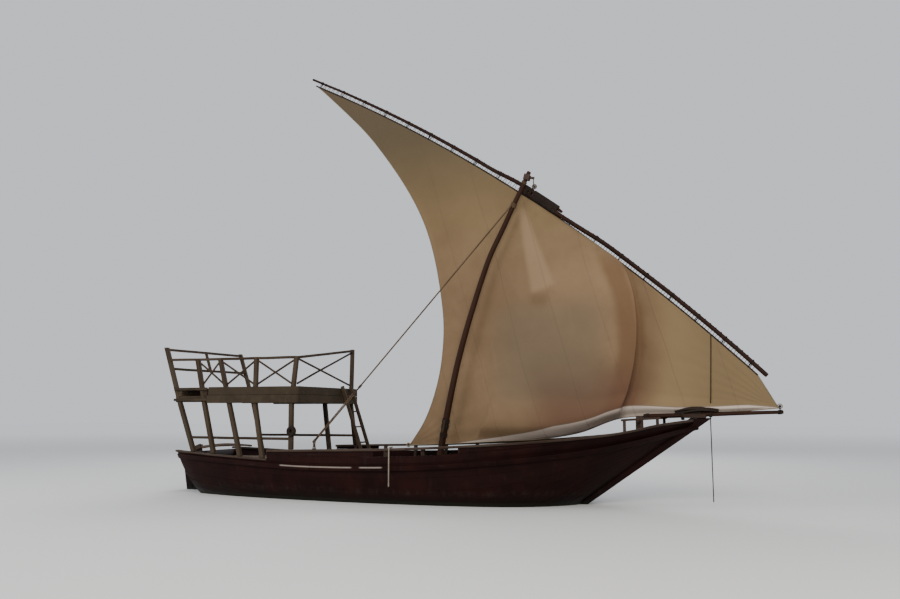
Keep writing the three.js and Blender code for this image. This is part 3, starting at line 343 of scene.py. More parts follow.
def rope_finish(name, dark, light):
    """Laid fibre rope: its strands wind round the piece's own length, with painted shade in the grooves
    between them.
    """
    finish = Finish(name, "rope")
    u, v, _ = finish.lay()
    strands = (u / LAY_PITCH + v * STRANDS).wave(1.0)
    hairs = finish.cloud(finish.point(u * 60.0, v * 14.0), 2.0, 4.0, 0.7)
    wear = finish.cloud(finish.spot, 3.0, 4.0)
    # The strand pattern darkens the grooves between strands: painted shade
    color = finish.coats(finish.mix(strands * 0.75 + hairs * 0.25, dark, light),
                         (wear.step(0.45, 0.7) * 0.4, scaled(dark, 0.6)))
    finish.surface(color, 0.85 + hairs * 0.12, 0.2)
    finish.bump(strands + hairs * 0.3, 0.9, 0.004)
    return finish


def paint_finish(name, dark, light, bare):
    """Paint on boards, worn through to the timber in places."""
    finish = Finish(name, "fascia_paint")
    u, v, tone = finish.lay()
    fibres = finish.cloud(finish.point(u * 1.2 + tone * 31.0, v * 22.0, tone), 2.2, 5.0, 0.6)
    patches = finish.cloud(finish.spot, 2.2, 5.0, 0.6)
    flakes = finish.cloud(finish.spot, 7.0, 6.0, 0.72).step(0.6, 0.67)
    color = finish.coats(
        finish.mix(patches.step(0.3, 0.7), dark, light),
        (tone * 0.4, dark),
        (flakes * 0.8, bare),
        (fibres.step(0.62, 0.8) * 0.5, scaled(dark, 0.4)),
    )
    finish.surface(color, 0.6 + patches * 0.15 + flakes * 0.2, 0.15)
    finish.bump(fibres * 0.6 - flakes * 0.9, 0.7, 0.0016)
    return finish


def iron_finish():
    """Forged iron, rusted all over."""
    finish = Finish("rusted_iron", "iron")
    rust = finish.cloud(finish.spot, 22.0, 6.0, 0.7)
    pits = finish.node("ShaderNodeTexVoronoi", {}, {"Vector": finish.spot, "Scale": 160.0})
    finish.surface(finish.mix(rust.step(0.35, 0.65), (0.035, 0.028, 0.025), (0.17, 0.065, 0.025)),
                   0.5 + rust * 0.4)
    finish.feed("Metallic", 0.75 - rust.step(0.35, 0.6) * 0.7)
    finish.bump(rust + pits * 0.4, 0.8, 0.0015)
    return finish


HULL_PAINT = hull_finish("hull_paint")
WALE_PAINT = hull_finish("wale_paint", lined=True)
DECK_TIMBER = grain_finish("deck_timber", "bare_timber", (0.07, 0.042, 0.025), (0.15, 0.1, 0.065),
                           (0.17, 0.135, 0.105))
RAIL_TIMBER = grain_finish("rail_timber", "bare_timber", (0.024, 0.013, 0.009), (0.056, 0.033, 0.022),
                           (0.075, 0.056, 0.044))
POST_TIMBER = grain_finish("post_timber", "platform_timber", (0.023, 0.0135, 0.0075), (0.054, 0.034, 0.02),
                           (0.072, 0.054, 0.035))
SPAR_WOOD = grain_finish("spar_wood", "spar_wood", (0.014, 0.0042, 0.0018), (0.037, 0.0115, 0.0045),
                         (0.034, 0.0165, 0.008), roughness=0.62, weathering=0.35, round_bar=True)
ROUND_TIMBER = grain_finish("round_timber", "bare_timber", (0.05, 0.03, 0.019), (0.12, 0.076, 0.048),
                            (0.13, 0.1, 0.078), round_bar=True)
FASCIA_PAINT = paint_finish("fascia_paint", (0.025, 0.0165, 0.0085), (0.049, 0.034, 0.0185),
                            (0.065, 0.042, 0.024))
CANVAS = canvas_finish()
ROPE = rope_finish("hemp_rope", (0.1, 0.075, 0.045), (0.3, 0.245, 0.165))
PALE_ROPE = rope_finish("pale_rope", (0.14, 0.12, 0.09), (0.34, 0.3, 0.235))
STAY_ROPE = rope_finish("stay_rope", (0.05, 0.031, 0.017), (0.13, 0.085, 0.048))
TARRED_ROPE = rope_finish("tarred_rope", (0.011, 0.0072, 0.0055), (0.036, 0.024, 0.017))
IRON = iron_finish()


# Making pieces

BEVEL_FROM = math.radians(35)
SMOOTH_TO = math.radians(40)
# Units of noise to a metre of spar, and to a metre of board
SPAR_NOISE = 2.3
BOARD_NOISE = 3.1
# How much the grain is squeezed on a timber's ends
END_GRAIN = 0.2
# Length over which a spar's ends are eased
SPAR_EASE = 0.02
SAME_PLACE = 0.00001
COIL_STEPS = 14
# Distance between turns of rope, by the rope's radius
COIL_PITCH = 2.05
WRAP_PITCH = 1.95


def clear():
    bpy.ops.object.select_all(action="DESELECT")


def hold(*pieces):
    """Selects pieces and makes the first one active."""
    clear()
    for piece in pieces:
        piece.select_set(True)
    bpy.context.view_layer.objects.active = pieces[0]


@contextmanager
def edit_mode():
    """All of the active piece, selected in edit mode."""
    bpy.ops.object.mode_set(mode="EDIT")
    bpy.ops.mesh.select_all(action="SELECT")
    yield
    bpy.ops.object.mode_set(mode="OBJECT")


def mark_tone(piece, tone):
    mesh = piece.data
    attribute = mesh.attributes.new("tone", "FLOAT", "POINT")
    values = tone if isinstance(tone, list) else [tone] * len(mesh.vertices)
    attribute.data.foreach_set("value", values)


def lattice(cuts, shape, size, tone=None):
    """A cube with cuts along each axis, whose corners go to shape(a, b, c), each from 0 to 1.

    Its grain is laid along the first axis, for a timber of about the given size.
    """
    clear()
    bpy.ops.mesh.primitive_cube_add(size=1)
    piece = bpy.context.active_object
    mesh = piece.data
    for axis, count in enumerate(cuts):
        if not count:
            continue
        bpy.ops.object.mode_set(mode="EDIT")
        bpy.ops.mesh.select_all(action="DESELECT")
        bpy.ops.mesh.select_mode(type="EDGE")
        bpy.ops.object.mode_set(mode="OBJECT")
        for edge in mesh.edges:
            run = mesh.vertices[edge.vertices[0]].co - mesh.vertices[edge.vertices[1]].co
            edge.select = abs(run[axis]) > 0.9
        bpy.ops.object.mode_set(mode="EDIT")
        bpy.ops.mesh.subdivide(number_cuts=count)
        bpy.ops.object.mode_set(mode="OBJECT")
    places = [vertex.co + Vector((0.5, 0.5, 0.5)) for vertex in mesh.vertices]
    layer = mesh.uv_layers.active
    for face in mesh.polygons:
        way = max(range(3), key=lambda k: abs(face.normal[k]))
        for loop in face.loop_indices:
            a, b, c = (share * length for share, length in zip(places[mesh.loops[loop].vertex_index], size))
            layer.data[loop].uv = ((b * END_GRAIN, c), (a, c), (a, b + size[2]))[way]
    for vertex, place in zip(mesh.vertices, places):
        vertex.co = shape(*place)
    mark_tone(piece, chance.random() if tone is None else tone)
    return piece


def timber(start, end, wide, deep, across=ALONG_Y, cuts=2, bow=0.0):
    """A sawn timber from one point to another: wide across, deep in its own plane."""
    start, end = Vector(start), Vector(end)
    axis = (end - start).normalized()
    face = axis.cross(Vector(across)).normalized()
    side = face.cross(axis)
    length = (end - start).length
    lean = chance.uniform(-1, 1) * bow

    def shape(a, b, c):
        swell = math.sin(math.pi * a) * lean
        return (start + axis * (a * length) + side * ((b - 0.5) * wide + swell)
                + face * ((c - 0.5) * deep + swell * 0.6))

    return lattice((cuts, 0, 0), shape, (length, wide, deep))


def board(low, high, grain=0, cuts=0):
    """A board between two opposite corners, with its grain and its cuts along one axis of the boat."""
    low, high = Vector(low), Vector(high)
    span = high - low
    order = [grain] + [k for k in range(3) if k != grain]

    def shape(*share):
        place = Vector((0, 0, 0))
        for k, axis in enumerate(order):
            place[axis] = low[axis] + span[axis] * share[k]
        return place

    return lattice((cuts, 0, 0), shape, [span[axis] for axis in order])


def apply_modifier(piece, kind, **settings):
    hold(piece)
    modifier = piece.modifiers.new(kind.title(), kind)
    for key, value in settings.items():
        setattr(modifier, key, value)
    bpy.ops.object.modifier_apply(modifier=modifier.name)


def join(name, parts):
    hold(*parts)
    if len(parts) > 1:
        bpy.ops.object.join()
    piece = parts[0]
    piece.name = piece.data.name = name
    return piece


def dress(piece, finish, *nodes, body=HULL_BODY, slot=None):
    """The finish, the body that the piece rides on and the nodes that it stands for. The slot is not used."""
    piece.data.materials.clear()
    piece.data.materials.append(finish.material)
    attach(piece, body)
    slot or finish.slot
    if nodes:
        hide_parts(*nodes)
    return piece


def made(name, parts, finish, *nodes, **riding):
    """Joins parts into one piece and dresses it."""
    return dress(join(name, parts), finish, *nodes, **riding)


def roughen(piece, pitch, amount):
    for vertex in piece.data.vertices:
        vertex.co += noise.noise_vector(vertex.co * pitch) * amount


def woodwork(name, parts, finish, *nodes, bevel=0.004, rough=0.0012, **riding):
    """Joins boards into one piece, eases their edges and leaves them a little uneven."""
    piece = join(name, parts)
    hold(piece)
    with edit_mode():
        bpy.ops.mesh.normals_make_consistent(inside=False)
    apply_modifier(piece, "BEVEL", width=bevel, segments=1, limit_method="ANGLE", angle_limit=BEVEL_FROM,
                   use_clamp_overlap=True)
    roughen(piece, BOARD_NOISE, rough)
    hold(piece)
    bpy.ops.object.shade_smooth_by_angle(angle=SMOOTH_TO)
    return dress(piece, finish, *nodes, **riding)


def tube(points, radii, sides=10, closed=False):
    """A round bar along points, as a bevelled curve made mesh, with its lay along its length."""
    curve = bpy.data.curves.new("line", "CURVE")
    curve.dimensions = "3D"
    curve.bevel_depth = 1
    curve.bevel_resolution = (sides - 4) // 2
    curve.use_fill_caps = not closed
    spline = curve.splines.new("POLY")
    spline.points.add(len(points) - 1)
    spline.use_cyclic_u = closed
    if not hasattr(radii, "__len__"):
        radii = [radii] * len(points)
    for target, place, radius in zip(spline.points, points, radii):
        target.co = (*place, 1)
        target.radius = radius
    piece = bpy.data.objects.new("line", curve)
    bpy.context.scene.collection.objects.link(piece)
    hold(piece)
    bpy.ops.object.convert(target="MESH")
    piece = bpy.context.active_object
    mesh = piece.data
    count = len(points)
    around = 4 + 2 * curve.bevel_resolution
    first = 0 if closed else around
    reach = [0.0]
    for start, end in zip(points, points[1:]):
        reach.append(reach[-1] + (Vector(end) - Vector(start)).length)
    last = reach[-1] + (Vector(points[0]) - Vector(points[-1])).length
    layer = mesh.uv_layers.active or mesh.uv_layers.new(name="UVMap")
    for face in mesh.polygons:
        spots = [mesh.loops[k].vertex_index - first for k in face.loop_indices]
        wraps = {spot % around for spot in spots} == {0, around - 1}
        laps = closed and {spot // around for spot in spots} == {0, count - 1}
        for loop, spot in zip(face.loop_indices, spots):
            station, turn = divmod(spot, around)
            station = count - 1 if station < 0 else 0 if station >= count else station
            u = last if laps and station == 0 else reach[station]
            v = 1.0 if wraps and turn == 0 else turn / around
            layer.data[loop].uv = (u, v)
    if not closed:
        with edit_mode():
            bpy.ops.mesh.remove_doubles(threshold=SAME_PLACE)
    mark_tone(piece, chance.random())
    for face in mesh.polygons:
        face.use_smooth = len(face.vertices) == 4
    return piece


def pole(line, radius, count=40, sides=18, knots=0.0015):
    """A round spar along a line, with eased ends; radius goes by the share of its length."""
    ease = SPAR_EASE / line.length
    shares = [0, ease * 0.4, ease] + [ease + (1 - 2 * ease) * k / count for k in range(1, count)]
    shares += [1 - ease, 1 - ease * 0.4, 1]
    points, radii = [], []
    for share in shares:
        inner = min(share, 1 - share)
        edge = 0.72 if inner <= 0 else 0.93 if inner < ease * 0.9 else 1.0
        points.append(line.at(share))
        radii.append(radius(share) * edge)
    piece = tube(points, radii, sides)
    roughen(piece, SPAR_NOISE, knots * 2)
    return piece


def rod(start, end, radius, sides=12, ease=0.002):
    start, end = Vector(start), Vector(end)
    run = (end - start).normalized() * ease
    return tube([start, start + run, end - run, end], [radius * 0.82, radius, radius, radius * 0.82], sides)


def ring(centre, radius, thick, sides=8, count=24, up=ALONG_Z, tall=1.0):
    """A closed ring of rope round a centre, in the plane of the boat's x and the axis up."""
    points = []
    for k in range(count):
        turn = 2 * math.pi * k / count
        off = Vector(up) * (radius * tall * math.sin(turn))
        points.append(Vector(centre) + Vector((radius * math.cos(turn), 0, 0)) + off)
    return tube(points, thick, sides, closed=True)


def catmull(points, t):
    """A point on the smooth curve through points, at a share t of its spans."""
    count = len(points)
    place = (count - 1) * t
    i = min(int(place), count - 2)
    w = place - i
    p1, p2 = points[i], points[i + 1]
    p0 = points[i - 1] if i > 0 else 2 * points[0] - points[1]
    p3 = points[i + 2] if i + 2 < count else 2 * points[-1] - points[-2]
    d0, d1, d2 = (math.sqrt((b - a).length) for a, b in ((p0, p1), (p1, p2), (p2, p3)))
    t1 = ((p1 - p0) / d0 - (p2 - p0) / (d0 + d1) + (p2 - p1) / d1) * d1
    t2 = ((p2 - p1) / d1 - (p3 - p1) / (d1 + d2) + (p3 - p2) / d2) * d1
    return ((2 * p1 - 2 * p2 + t1 + t2) * w ** 3 + (-3 * p1 + 3 * p2 - 2 * t1 - t2) * w ** 2
            + t1 * w + p1)


class Line:
    """A smooth curve through points, read by the share of its length."""

    def __init__(self, points, samples=300):
        points = [Vector(p) for p in points]
        self.spots = [catmull(points, k / samples) for k in range(samples + 1)]
        self.reach = [0.0]
        for first, second in zip(self.spots, self.spots[1:]):
            self.reach.append(self.reach[-1] + (second - first).length)
        self.length = self.reach[-1]

    def at(self, share):
        target = min(max(share, 0.0), 1.0) * self.length
        low, high = 0, len(self.reach) - 1
        while high - low > 1:
            middle = (low + high) // 2
            if self.reach[middle] > target:
                high = middle
            else:
                low = middle
        span = self.reach[high] - self.reach[low]
        return self.spots[low].lerp(self.spots[high], (target - self.reach[low]) / span)

    def run(self, share):
        return (self.at(share + 0.004) - self.at(share - 0.004)).normalized()

    def cut(self, count, start=0.0, end=1.0):
        return [self.at(start + (end - start) * k / count) for k in range(count + 1)]


def round_axes(run):
    """Two directions square to a run."""
    side = run.cross(Vector(ALONG_Z))
    if side.length < 0.1:
        side = run.cross(Vector(ALONG_X))
    side.normalize()
    return side, run.cross(side).normalized()


def coil(line, place, turns, radius, thick, squash=1.0):
    """Rope wound round a spar: close turns about a place of its line."""
    middle, run = line.at(place), line.run(place)
    side, up = round_axes(run)
    total = turns * COIL_STEPS
    points = []
    for k in range(total + 1):
        turn = 2 * math.pi * k / COIL_STEPS
        along = (k / total - 0.5) * turns * COIL_PITCH * thick
        points.append(middle + run * along + side * (radius * math.cos(turn))
                      + up * (radius * squash * math.sin(turn)))
    return tube(points, thick, 6)


# Free ropes

SIDE_ROPE_ROUTE = [(-0.196, -1.298, 0.929), (-0.196, -1.330, 0.9285), (-0.196, -1.370, 0.9285),
                   (-0.196, -1.404, 0.930), (-0.196, -1.425, 0.926), (-0.196, -1.434, 0.905),
                   (-0.196, -1.436, 0.860), (-0.196, -1.436, 0.760), (-0.196, -1.436, 0.640),
                   (-0.196, -1.436, 0.520), (-0.196, -1.435, 0.400), (-0.196, -1.434, 0.300)]
BOW_LINE_ROUTE = [(4.730, -0.0443, 1.462), (4.730, -0.052, 1.4614), (4.730, -0.060, 1.457),
                  (4.730, -0.066, 1.447), (4.730, -0.068, 1.434), (4.730, -0.068, 1.400),
                  (4.730, -0.0685, 1.300), (4.731, -0.069, 1.100), (4.731, -0.070, 0.900),
                  (4.731, -0.070, 0.700), (4.732, -0.070, 0.500), (4.732, -0.070, 0.300),
                  (4.732, -0.070, 0.110)]
ROUTE_STEPS = 38


def free_rope(node, route, radius, finish):
    """A limp rope that hangs from the first point of its route."""
    line = Line(route)
    points = line.cut(ROUTE_STEPS)
    piece = made(f"{node}_strand", [tube(points, radius)], finish, node)


free_rope("side_rope", SIDE_ROPE_ROUTE, 0.011, PALE_ROPE)
free_rope("bow_line", BOW_LINE_ROUTE, 0.008, TARRED_ROPE)


# The hull's shape

# x, then keel z, low y and z, side y and z, rail y and z of a section's curve
HULL_LINES = [
    (-4.90, -0.300, 0.070, -0.060, 0.760, -0.060, 0.900, 0.860),
    (-4.20, -0.500, 0.120, -0.260, 0.960, -0.190, 1.090, 0.840),
    (-3.20, -0.540, 0.280, -0.470, 1.130, -0.330, 1.230, 0.830),
    (-2.00, -0.550, 0.420, -0.540, 1.260, -0.430, 1.330, 0.880),
    (-0.60, -0.550, 0.520, -0.560, 1.330, -0.460, 1.390, 0.910),
    (0.80, -0.550, 0.470, -0.540, 1.270, -0.430, 1.385, 0.980),
    (1.60, -0.520, 0.380, -0.490, 1.110, -0.330, 1.310, 1.030),
    (2.30, -0.210, 0.260, -0.190, 0.860, -0.020, 1.170, 1.080),
    (3.00, 0.280, 0.170, 0.300, 0.560, 0.470, 0.900, 1.150),
    (3.80, 0.840, 0.080, 0.860, 0.300, 0.960, 0.560, 1.300),
    (4.30, 1.190, 0.040, 1.205, 0.150, 1.260, 0.300, 1.380),
    (4.56, 1.372, 0.020, 1.378, 0.060, 1.390, 0.110, 1.420),
]
# x, then the top of the planking and of the cap rail
SHEER = [
    (-4.90, 0.775, 0.860), (-3.90, 0.722, 0.845), (-3.16, 0.686, 0.842), (-1.92, 0.642, 0.868),
    (-0.60, 0.652, 0.900), (0.40, 0.690, 0.940), (1.20, 0.750, 0.985), (2.10, 0.835, 1.045),
    (3.00, 0.960, 1.130), (3.54, 1.070, 1.210), (3.96, 1.180, 1.310), (4.56, 1.345, 1.400),
]
PLANK = 0.028
RIB_DEPTH = 0.060
FIT = 0.0003
RIB_FACE = PLANK + FIT
SHELF_FACE = RIB_FACE + RIB_DEPTH + FIT
STERN_WATER_X = -4.45
STERN_SLOPE = 0.385
HULL_AFT = -4.86
CAP_AFT = -2.6
CAP_FORE = 4.47
CAP_THICK = 0.04
QUARTER_CAP_THICK = 0.035


def stern_x(z):
    return STERN_WATER_X - STERN_SLOPE * z


def along(table, column, x):
    """Value of a table's column at x, on a smooth curve through its rows."""
    i = 0
    while i < len(table) - 2 and x > table[i + 1][0]:
        i += 1
    before, start = table[max(i - 1, 0)], table[i]
    end, after = table[i + 1], table[min(i + 2, len(table) - 1)]
    span = end[0] - start[0]
    t = (x - start[0]) / span
    slope_in = (end[column] - before[column]) / (end[0] - before[0]) * span
    slope_out = (after[column] - start[column]) / (after[0] - start[0]) * span
    return ((2 * t ** 3 - 3 * t ** 2 + 1) * start[column] + (t ** 3 - 2 * t ** 2 + t) * slope_in
            + (3 * t ** 2 - 2 * t ** 3) * end[column] + (t ** 3 - t ** 2) * slope_out)


@cache
def section(x):
    return [along(HULL_LINES, column, x) for column in range(1, 8)]


def hull_point(x, share, inset=0.0):
    """Half-breadth and height of the hull at x: share 0 is the keel and 1 the rail."""
    keel_z, low_y, low_z, side_y, side_z, rail_y, rail_z = section(x)
    rest = 1 - share
    y = 3 * rest ** 2 * share * low_y + 3 * rest * share ** 2 * side_y + share ** 3 * rail_y
    z = (rest ** 3 * keel_z + 3 * rest ** 2 * share * low_z + 3 * rest * share ** 2 * side_z
         + share ** 3 * rail_z)
    run_y = rest ** 2 * low_y + 2 * rest * share * (side_y - low_y) + share ** 2 * (rail_y - side_y)
    run_z = (rest ** 2 * (low_z - keel_z) + 2 * rest * share * (side_z - low_z)
             + share ** 2 * (rail_z - side_z))
    size = math.hypot(run_y, run_z) or 1.0
    return max(y - inset * run_z / size, 0.004 * share), z + inset * run_y / size


def halving(low, high, rounds, is_low):
    """The place between low and high where is_low stops holding."""
    for _ in range(rounds):
        middle = (low + high) / 2
        if is_low(middle):
            low = middle
        else:
            high = middle
    return (low + high) / 2


def share_at(x, z, inset=0.0):
    if hull_point(x, 1.0, inset)[1] <= z:
        return 1.0
    return halving(0.0, 1.0, 18, lambda share: hull_point(x, share, inset)[1] < z)


def half_breadth(x, z, inset=0.0):
    return hull_point(x, share_at(x, z, inset), inset)[0]


def sheer(x):
    return along(SHEER, 1, x)


def rail_top(x):
    return along(SHEER, 2, x)


def keel_line(x):
    return along(HULL_LINES, 1, x)


@cache
def sheer_share(x):
    return share_at(x, sheer(x))


# Planking, wales, wash strakes, caps

STRAKES = 13
KEEL_SHARE = 0.03
PLANK_ENDS = [(HULL_AFT, -1.85, 1.25, 4.545), (HULL_AFT, -0.75, 2.2, 4.545), (HULL_AFT, -2.5, 0.4, 4.545)]
WALE_ENDS = ((HULL_AFT, -1.7), (-1.7, 1.6), (1.6, 4.54))
CAP_ENDS = ((CAP_AFT, 0.1), (0.1, 2.6), (2.6, CAP_FORE))
SEAM = 0.0011
RAGGED = 0.0008
STATION_PITCH = 0.3
CAP_PITCH = 0.22
WALE_LOW = 0.115
WALE_HIGH = 0.035
WALE_THICK = 0.042
# The wash strake is open amidships above its lower board, between these places
GAP_AFT = {STARBOARD: -0.5, PORT: -1.7}
GAP_FORE = 1.0
GAP_LOW = 0.115
# Insets of a cap rail's outer and inner edge from the hull's side
CAP_EDGES = (-0.025, 0.085)


def strake_share(x, part):
    return KEEL_SHARE + (sheer_share(x) - KEEL_SHARE) * part


@cache
def stern_end(part):
    """Where a seam of the planking ends on the raked transom."""
    x = -4.7
    for _ in range(5):
        x = stern_x(hull_point(x, strake_share(x, part))[1])
    return x


def plank(side, strake, aft, fore):
    ragged = chance.uniform(-RAGGED, RAGGED)

    def shape(a, b, c):
        part = (strake + c) / STRAKES
        start = stern_end(part) if aft == HULL_AFT else aft + SEAM
        x = round(start + (fore - SEAM - start) * a, 5)
        y, z = hull_point(x, strake_share(x, part), PLANK * b + ragged * (1 - b))
        return Vector((x, side * y, z + SEAM * (0.5 - c) * 2))

    cuts = max(int((fore - aft) / STATION_PITCH), 2)
    return lattice((cuts, 0, 1), shape, (fore - aft, PLANK, 0.13))


def strip(side, aft, fore, low, high, outer, inner, pitch=STATION_PITCH):
    """A timber along the hull between two heights and two insets."""
    def shape(a, b, c):
        x = aft + (fore - aft) * a
        z = low(x) + (high(x) - low(x)) * c
        if aft == HULL_AFT:
            start = stern_x(z) + 0.004
            x = start + (fore - start) * a
        x = round(x, 5)
        return Vector((x, side * half_breadth(x, z, outer + (inner - outer) * b), z))

    cuts = max(int((fore - aft) / pitch), 1)
    return lattice((cuts, 0, 0), shape, (fore - aft, abs(inner - outer), 0.08))


def strips(side, ends, *faces, seam=SEAM, **pitch):
    return [strip(side, aft, fore - seam, *faces, **pitch) for aft, fore in ends]


def above_sheer(off):
    return lambda x: sheer(x) + off


def wash_top(x):
    return rail_top(x) - CAP_THICK - FIT


for side, name in SIDES:
    planks = []
    for strake in range(STRAKES):
        ends = PLANK_ENDS[strake % 3]
        planks += [plank(side, strake, aft, fore) for aft, fore in zip(ends, ends[1:])]
    woodwork(f"planks_{name}", planks, HULL_PAINT, f"planking_{name}", bevel=0.0028, rough=0.001)
    wale = strips(side, WALE_ENDS, above_sheer(-WALE_LOW), above_sheer(-WALE_HIGH), -WALE_THICK, -0.0004)
    woodwork(f"wale_timber_{name}", wale, WALE_PAINT, f"wale_{name}", bevel=0.008, rough=0.0015)
    wash = strips(side, ((CAP_AFT, 0.6), (0.6, CAP_FORE)), above_sheer(FIT),
                  lambda x: min(sheer(x) + GAP_LOW, wash_top(x)), -0.001, 0.024)
    wash += strips(side, ((CAP_AFT, GAP_AFT[side]), (GAP_FORE, 3.95)),
                   lambda x: min(sheer(x) + GAP_LOW + SEAM * 2, wash_top(x) - 0.014), wash_top,
                   0.0, 0.0235, seam=0)
    woodwork(f"wash_boards_{name}", wash, HULL_PAINT, f"wash_strake_{name}", bevel=0.003)
    cap = strips(side, CAP_ENDS, lambda x: rail_top(x) - CAP_THICK, rail_top, *CAP_EDGES, pitch=CAP_PITCH)
    woodwork(f"cap_timber_{name}", cap, RAIL_TIMBER, f"cap_rail_{name}", bevel=0.009, rough=0.002)
    quarter = strips(side, ((-4.79, CAP_AFT),), above_sheer(FIT), above_sheer(QUARTER_CAP_THICK),
                     *CAP_EDGES, seam=0.002, pitch=CAP_PITCH)
    woodwork(f"quarter_timber_{name}", quarter, RAIL_TIMBER, f"quarter_cap_{name}", bevel=0.008, rough=0.002)


# Backbone and transom

KEEL_BOTTOM = -0.65
KEEL_AFT = -4.335
KEEL_LENGTH = 5.834
KEEL_RISE = 0.06
BACKBONE_WIDTH = 0.11
STEM_SLOPE = 0.7
STEM_WATER_X = 2.74
STEM_HEAD_Z = 1.405
STEM_DEPTH = 0.19
# Where the stem's foot begins and where its straight part does
STEM_FOOT_X = 1.5
STEM_BEND_X = 2.15
TRANSOM_LOW = -0.33
TRANSOM_RISE = 1.09
TRANSOM_BOARDS = 9
TRANSOM_THICK = 0.04


def bezier(start, bend, end, t):
    rest = 1 - t
    return tuple(rest * rest * a + 2 * rest * t * b + t * t * c for a, b, c in zip(start, bend, end))


def stem_shape(a, b, c):
    rise = STEM_DEPTH * math.hypot(1, STEM_SLOPE)
    foot = STEM_SLOPE * (STEM_BEND_X - STEM_WATER_X)
    inner_foot = keel_line(STEM_FOOT_X) + KEEL_RISE
    if a < 0.25:
        outer = bezier((STEM_FOOT_X, KEEL_BOTTOM), (STEM_WATER_X + KEEL_BOTTOM / STEM_SLOPE, KEEL_BOTTOM),
                       (STEM_BEND_X, foot), a * 4)
        inner = bezier((STEM_FOOT_X, inner_foot), (1.69, inner_foot), (STEM_BEND_X, foot + rise), a * 4)
    else:
        t = (a - 0.25) / 0.75
        outer_head = STEM_WATER_X + STEM_HEAD_Z / STEM_SLOPE
        inner_head = STEM_WATER_X + (STEM_HEAD_Z - rise) / STEM_SLOPE
        outer = (STEM_BEND_X + (outer_head - STEM_BEND_X) * t, foot + (STEM_HEAD_Z - foot) * t)
        inner = (STEM_BEND_X + (inner_head - STEM_BEND_X) * t, foot + rise + (STEM_HEAD_Z - foot - rise) * t)
    width = BACKBONE_WIDTH * (1 - 0.3 * (1 - c))
    return Vector((outer[0] + (inner[0] - outer[0]) * c, (b - 0.5) * width,
                   outer[1] + (inner[1] - outer[1]) * c))


def keel_shape(a, b, c):
    x = KEEL_AFT + KEEL_LENGTH * a
    top = min(max(keel_line(x) + KEEL_RISE, -0.59), -0.45) if x > -4.16 else -0.59
    return Vector((x, (b - 0.5) * BACKBONE_WIDTH, KEEL_BOTTOM + (top - KEEL_BOTTOM) * c))


def stern_post_shape(a, b, c):
    z = -0.5897 + 1.2897 * a
    return Vector((stern_x(z) - 0.07 + 0.12 * c, (b - 0.5) * BACKBONE_WIDTH * (0.75 + 0.25 * c), z))


def transom_board(low, high):
    def shape(a, b, c):
        z = low + (high - low) * c
        x = stern_x(z) + TRANSOM_THICK * b
        y = half_breadth(round(x, 4), z, RIB_FACE)
        return Vector((x, y * (2 * a - 1), z))

    return lattice((10, 0, 0), shape, (1.8, TRANSOM_THICK, high - low))


woodwork("stem_timber", [lattice((28, 0, 2), stem_shape, (3.9, BACKBONE_WIDTH, STEM_DEPTH), tone=0.4)],
         HULL_PAINT, "stem_post", bevel=0.008, rough=0.002)
woodwork("keel_timber", [lattice((20, 0, 0), keel_shape, (5.8, BACKBONE_WIDTH, 0.15), tone=0.3)],
         HULL_PAINT, "keel", bevel=0.008)
woodwork("stern_timber", [lattice((8, 0, 0), stern_post_shape, (1.3, BACKBONE_WIDTH, 0.12), tone=0.5)],
         HULL_PAINT, "stern_post", bevel=0.007, rough=0.002)
transom_seams = [TRANSOM_LOW + TRANSOM_RISE * k / TRANSOM_BOARDS for k in range(TRANSOM_BOARDS + 1)]
woodwork("transom_boards", [transom_board(low, high - 0.002)
                            for low, high in zip(transom_seams, transom_seams[1:])],
         HULL_PAINT, "transom", bevel=0.003)


# Inside the hull

RIB_PLACES = [-4.05 + 0.63 * k for k in range(13)]
RIB_WIDTH = 0.055
RIB_FOOT_SHARE = 0.04
FLOOR_DEPTH = 0.2
KEELSON_LENGTH = 7.6
KEELSON_WIDTH = 0.12
KEELSON_DEPTH = 0.11
THWART_PLACES = (-2.95, -1.35, 0.12, 1.75)
# A thwart is two boards of this width
THWART_BOARD = 0.11
THWART_LOW = 0.56
SHELF_LOW = 0.5
SEAT_TOP = 0.6
SHELF_DEPTH = 0.045
# Name, aft and fore end, width of a board, underside and top, and the node
DECKS = (
    ("aft_deck_boards", (-4.62, -3.35, 0.14, 0.6003, 0.6303), "aft_deck"),
    ("fore_deck_boards", (2.88, 3.9, 0.14, 0.9, 0.93), "fore_deck"),
    ("bottom_boards", (-3.7, 1.85, 0.16, -0.18, -0.155), "floor_boards"),
)


def rib(x, side):
    top = share_at(x, sheer(x) - 0.01 if x < CAP_AFT else rail_top(x) - CAP_THICK - 0.001, RIB_FACE)

    def shape(a, b, c):
        y, z = hull_point(x, RIB_FOOT_SHARE + (top - RIB_FOOT_SHARE) * a, RIB_FACE + RIB_DEPTH * c)
        return Vector((x + (b - 0.5) * RIB_WIDTH, side * y, z))

    return lattice((14, 0, 0), shape, (1.9, RIB_WIDTH, RIB_DEPTH))


def floor_timber(x):
    top = keel_line(x) + FLOOR_DEPTH
    edge = share_at(x, top, RIB_FACE)

    def shape(a, b, c):
        y, z = hull_point(x, edge * abs(2 * a - 1), RIB_FACE)
        return Vector((x + (b - 0.5) * RIB_WIDTH, math.copysign(y, a - 0.5), z + (top - z) * c))

    return lattice((11, 0, 0), shape, (1.4, RIB_WIDTH, FLOOR_DEPTH))


def keelson_shape(a, b, c):
    x = -4.085 + KEELSON_LENGTH * a
    z = keel_line(x) + 0.15 + KEELSON_DEPTH * c
    return Vector((x, (b - 0.5) * KEELSON_WIDTH, min(z, 0.88)))


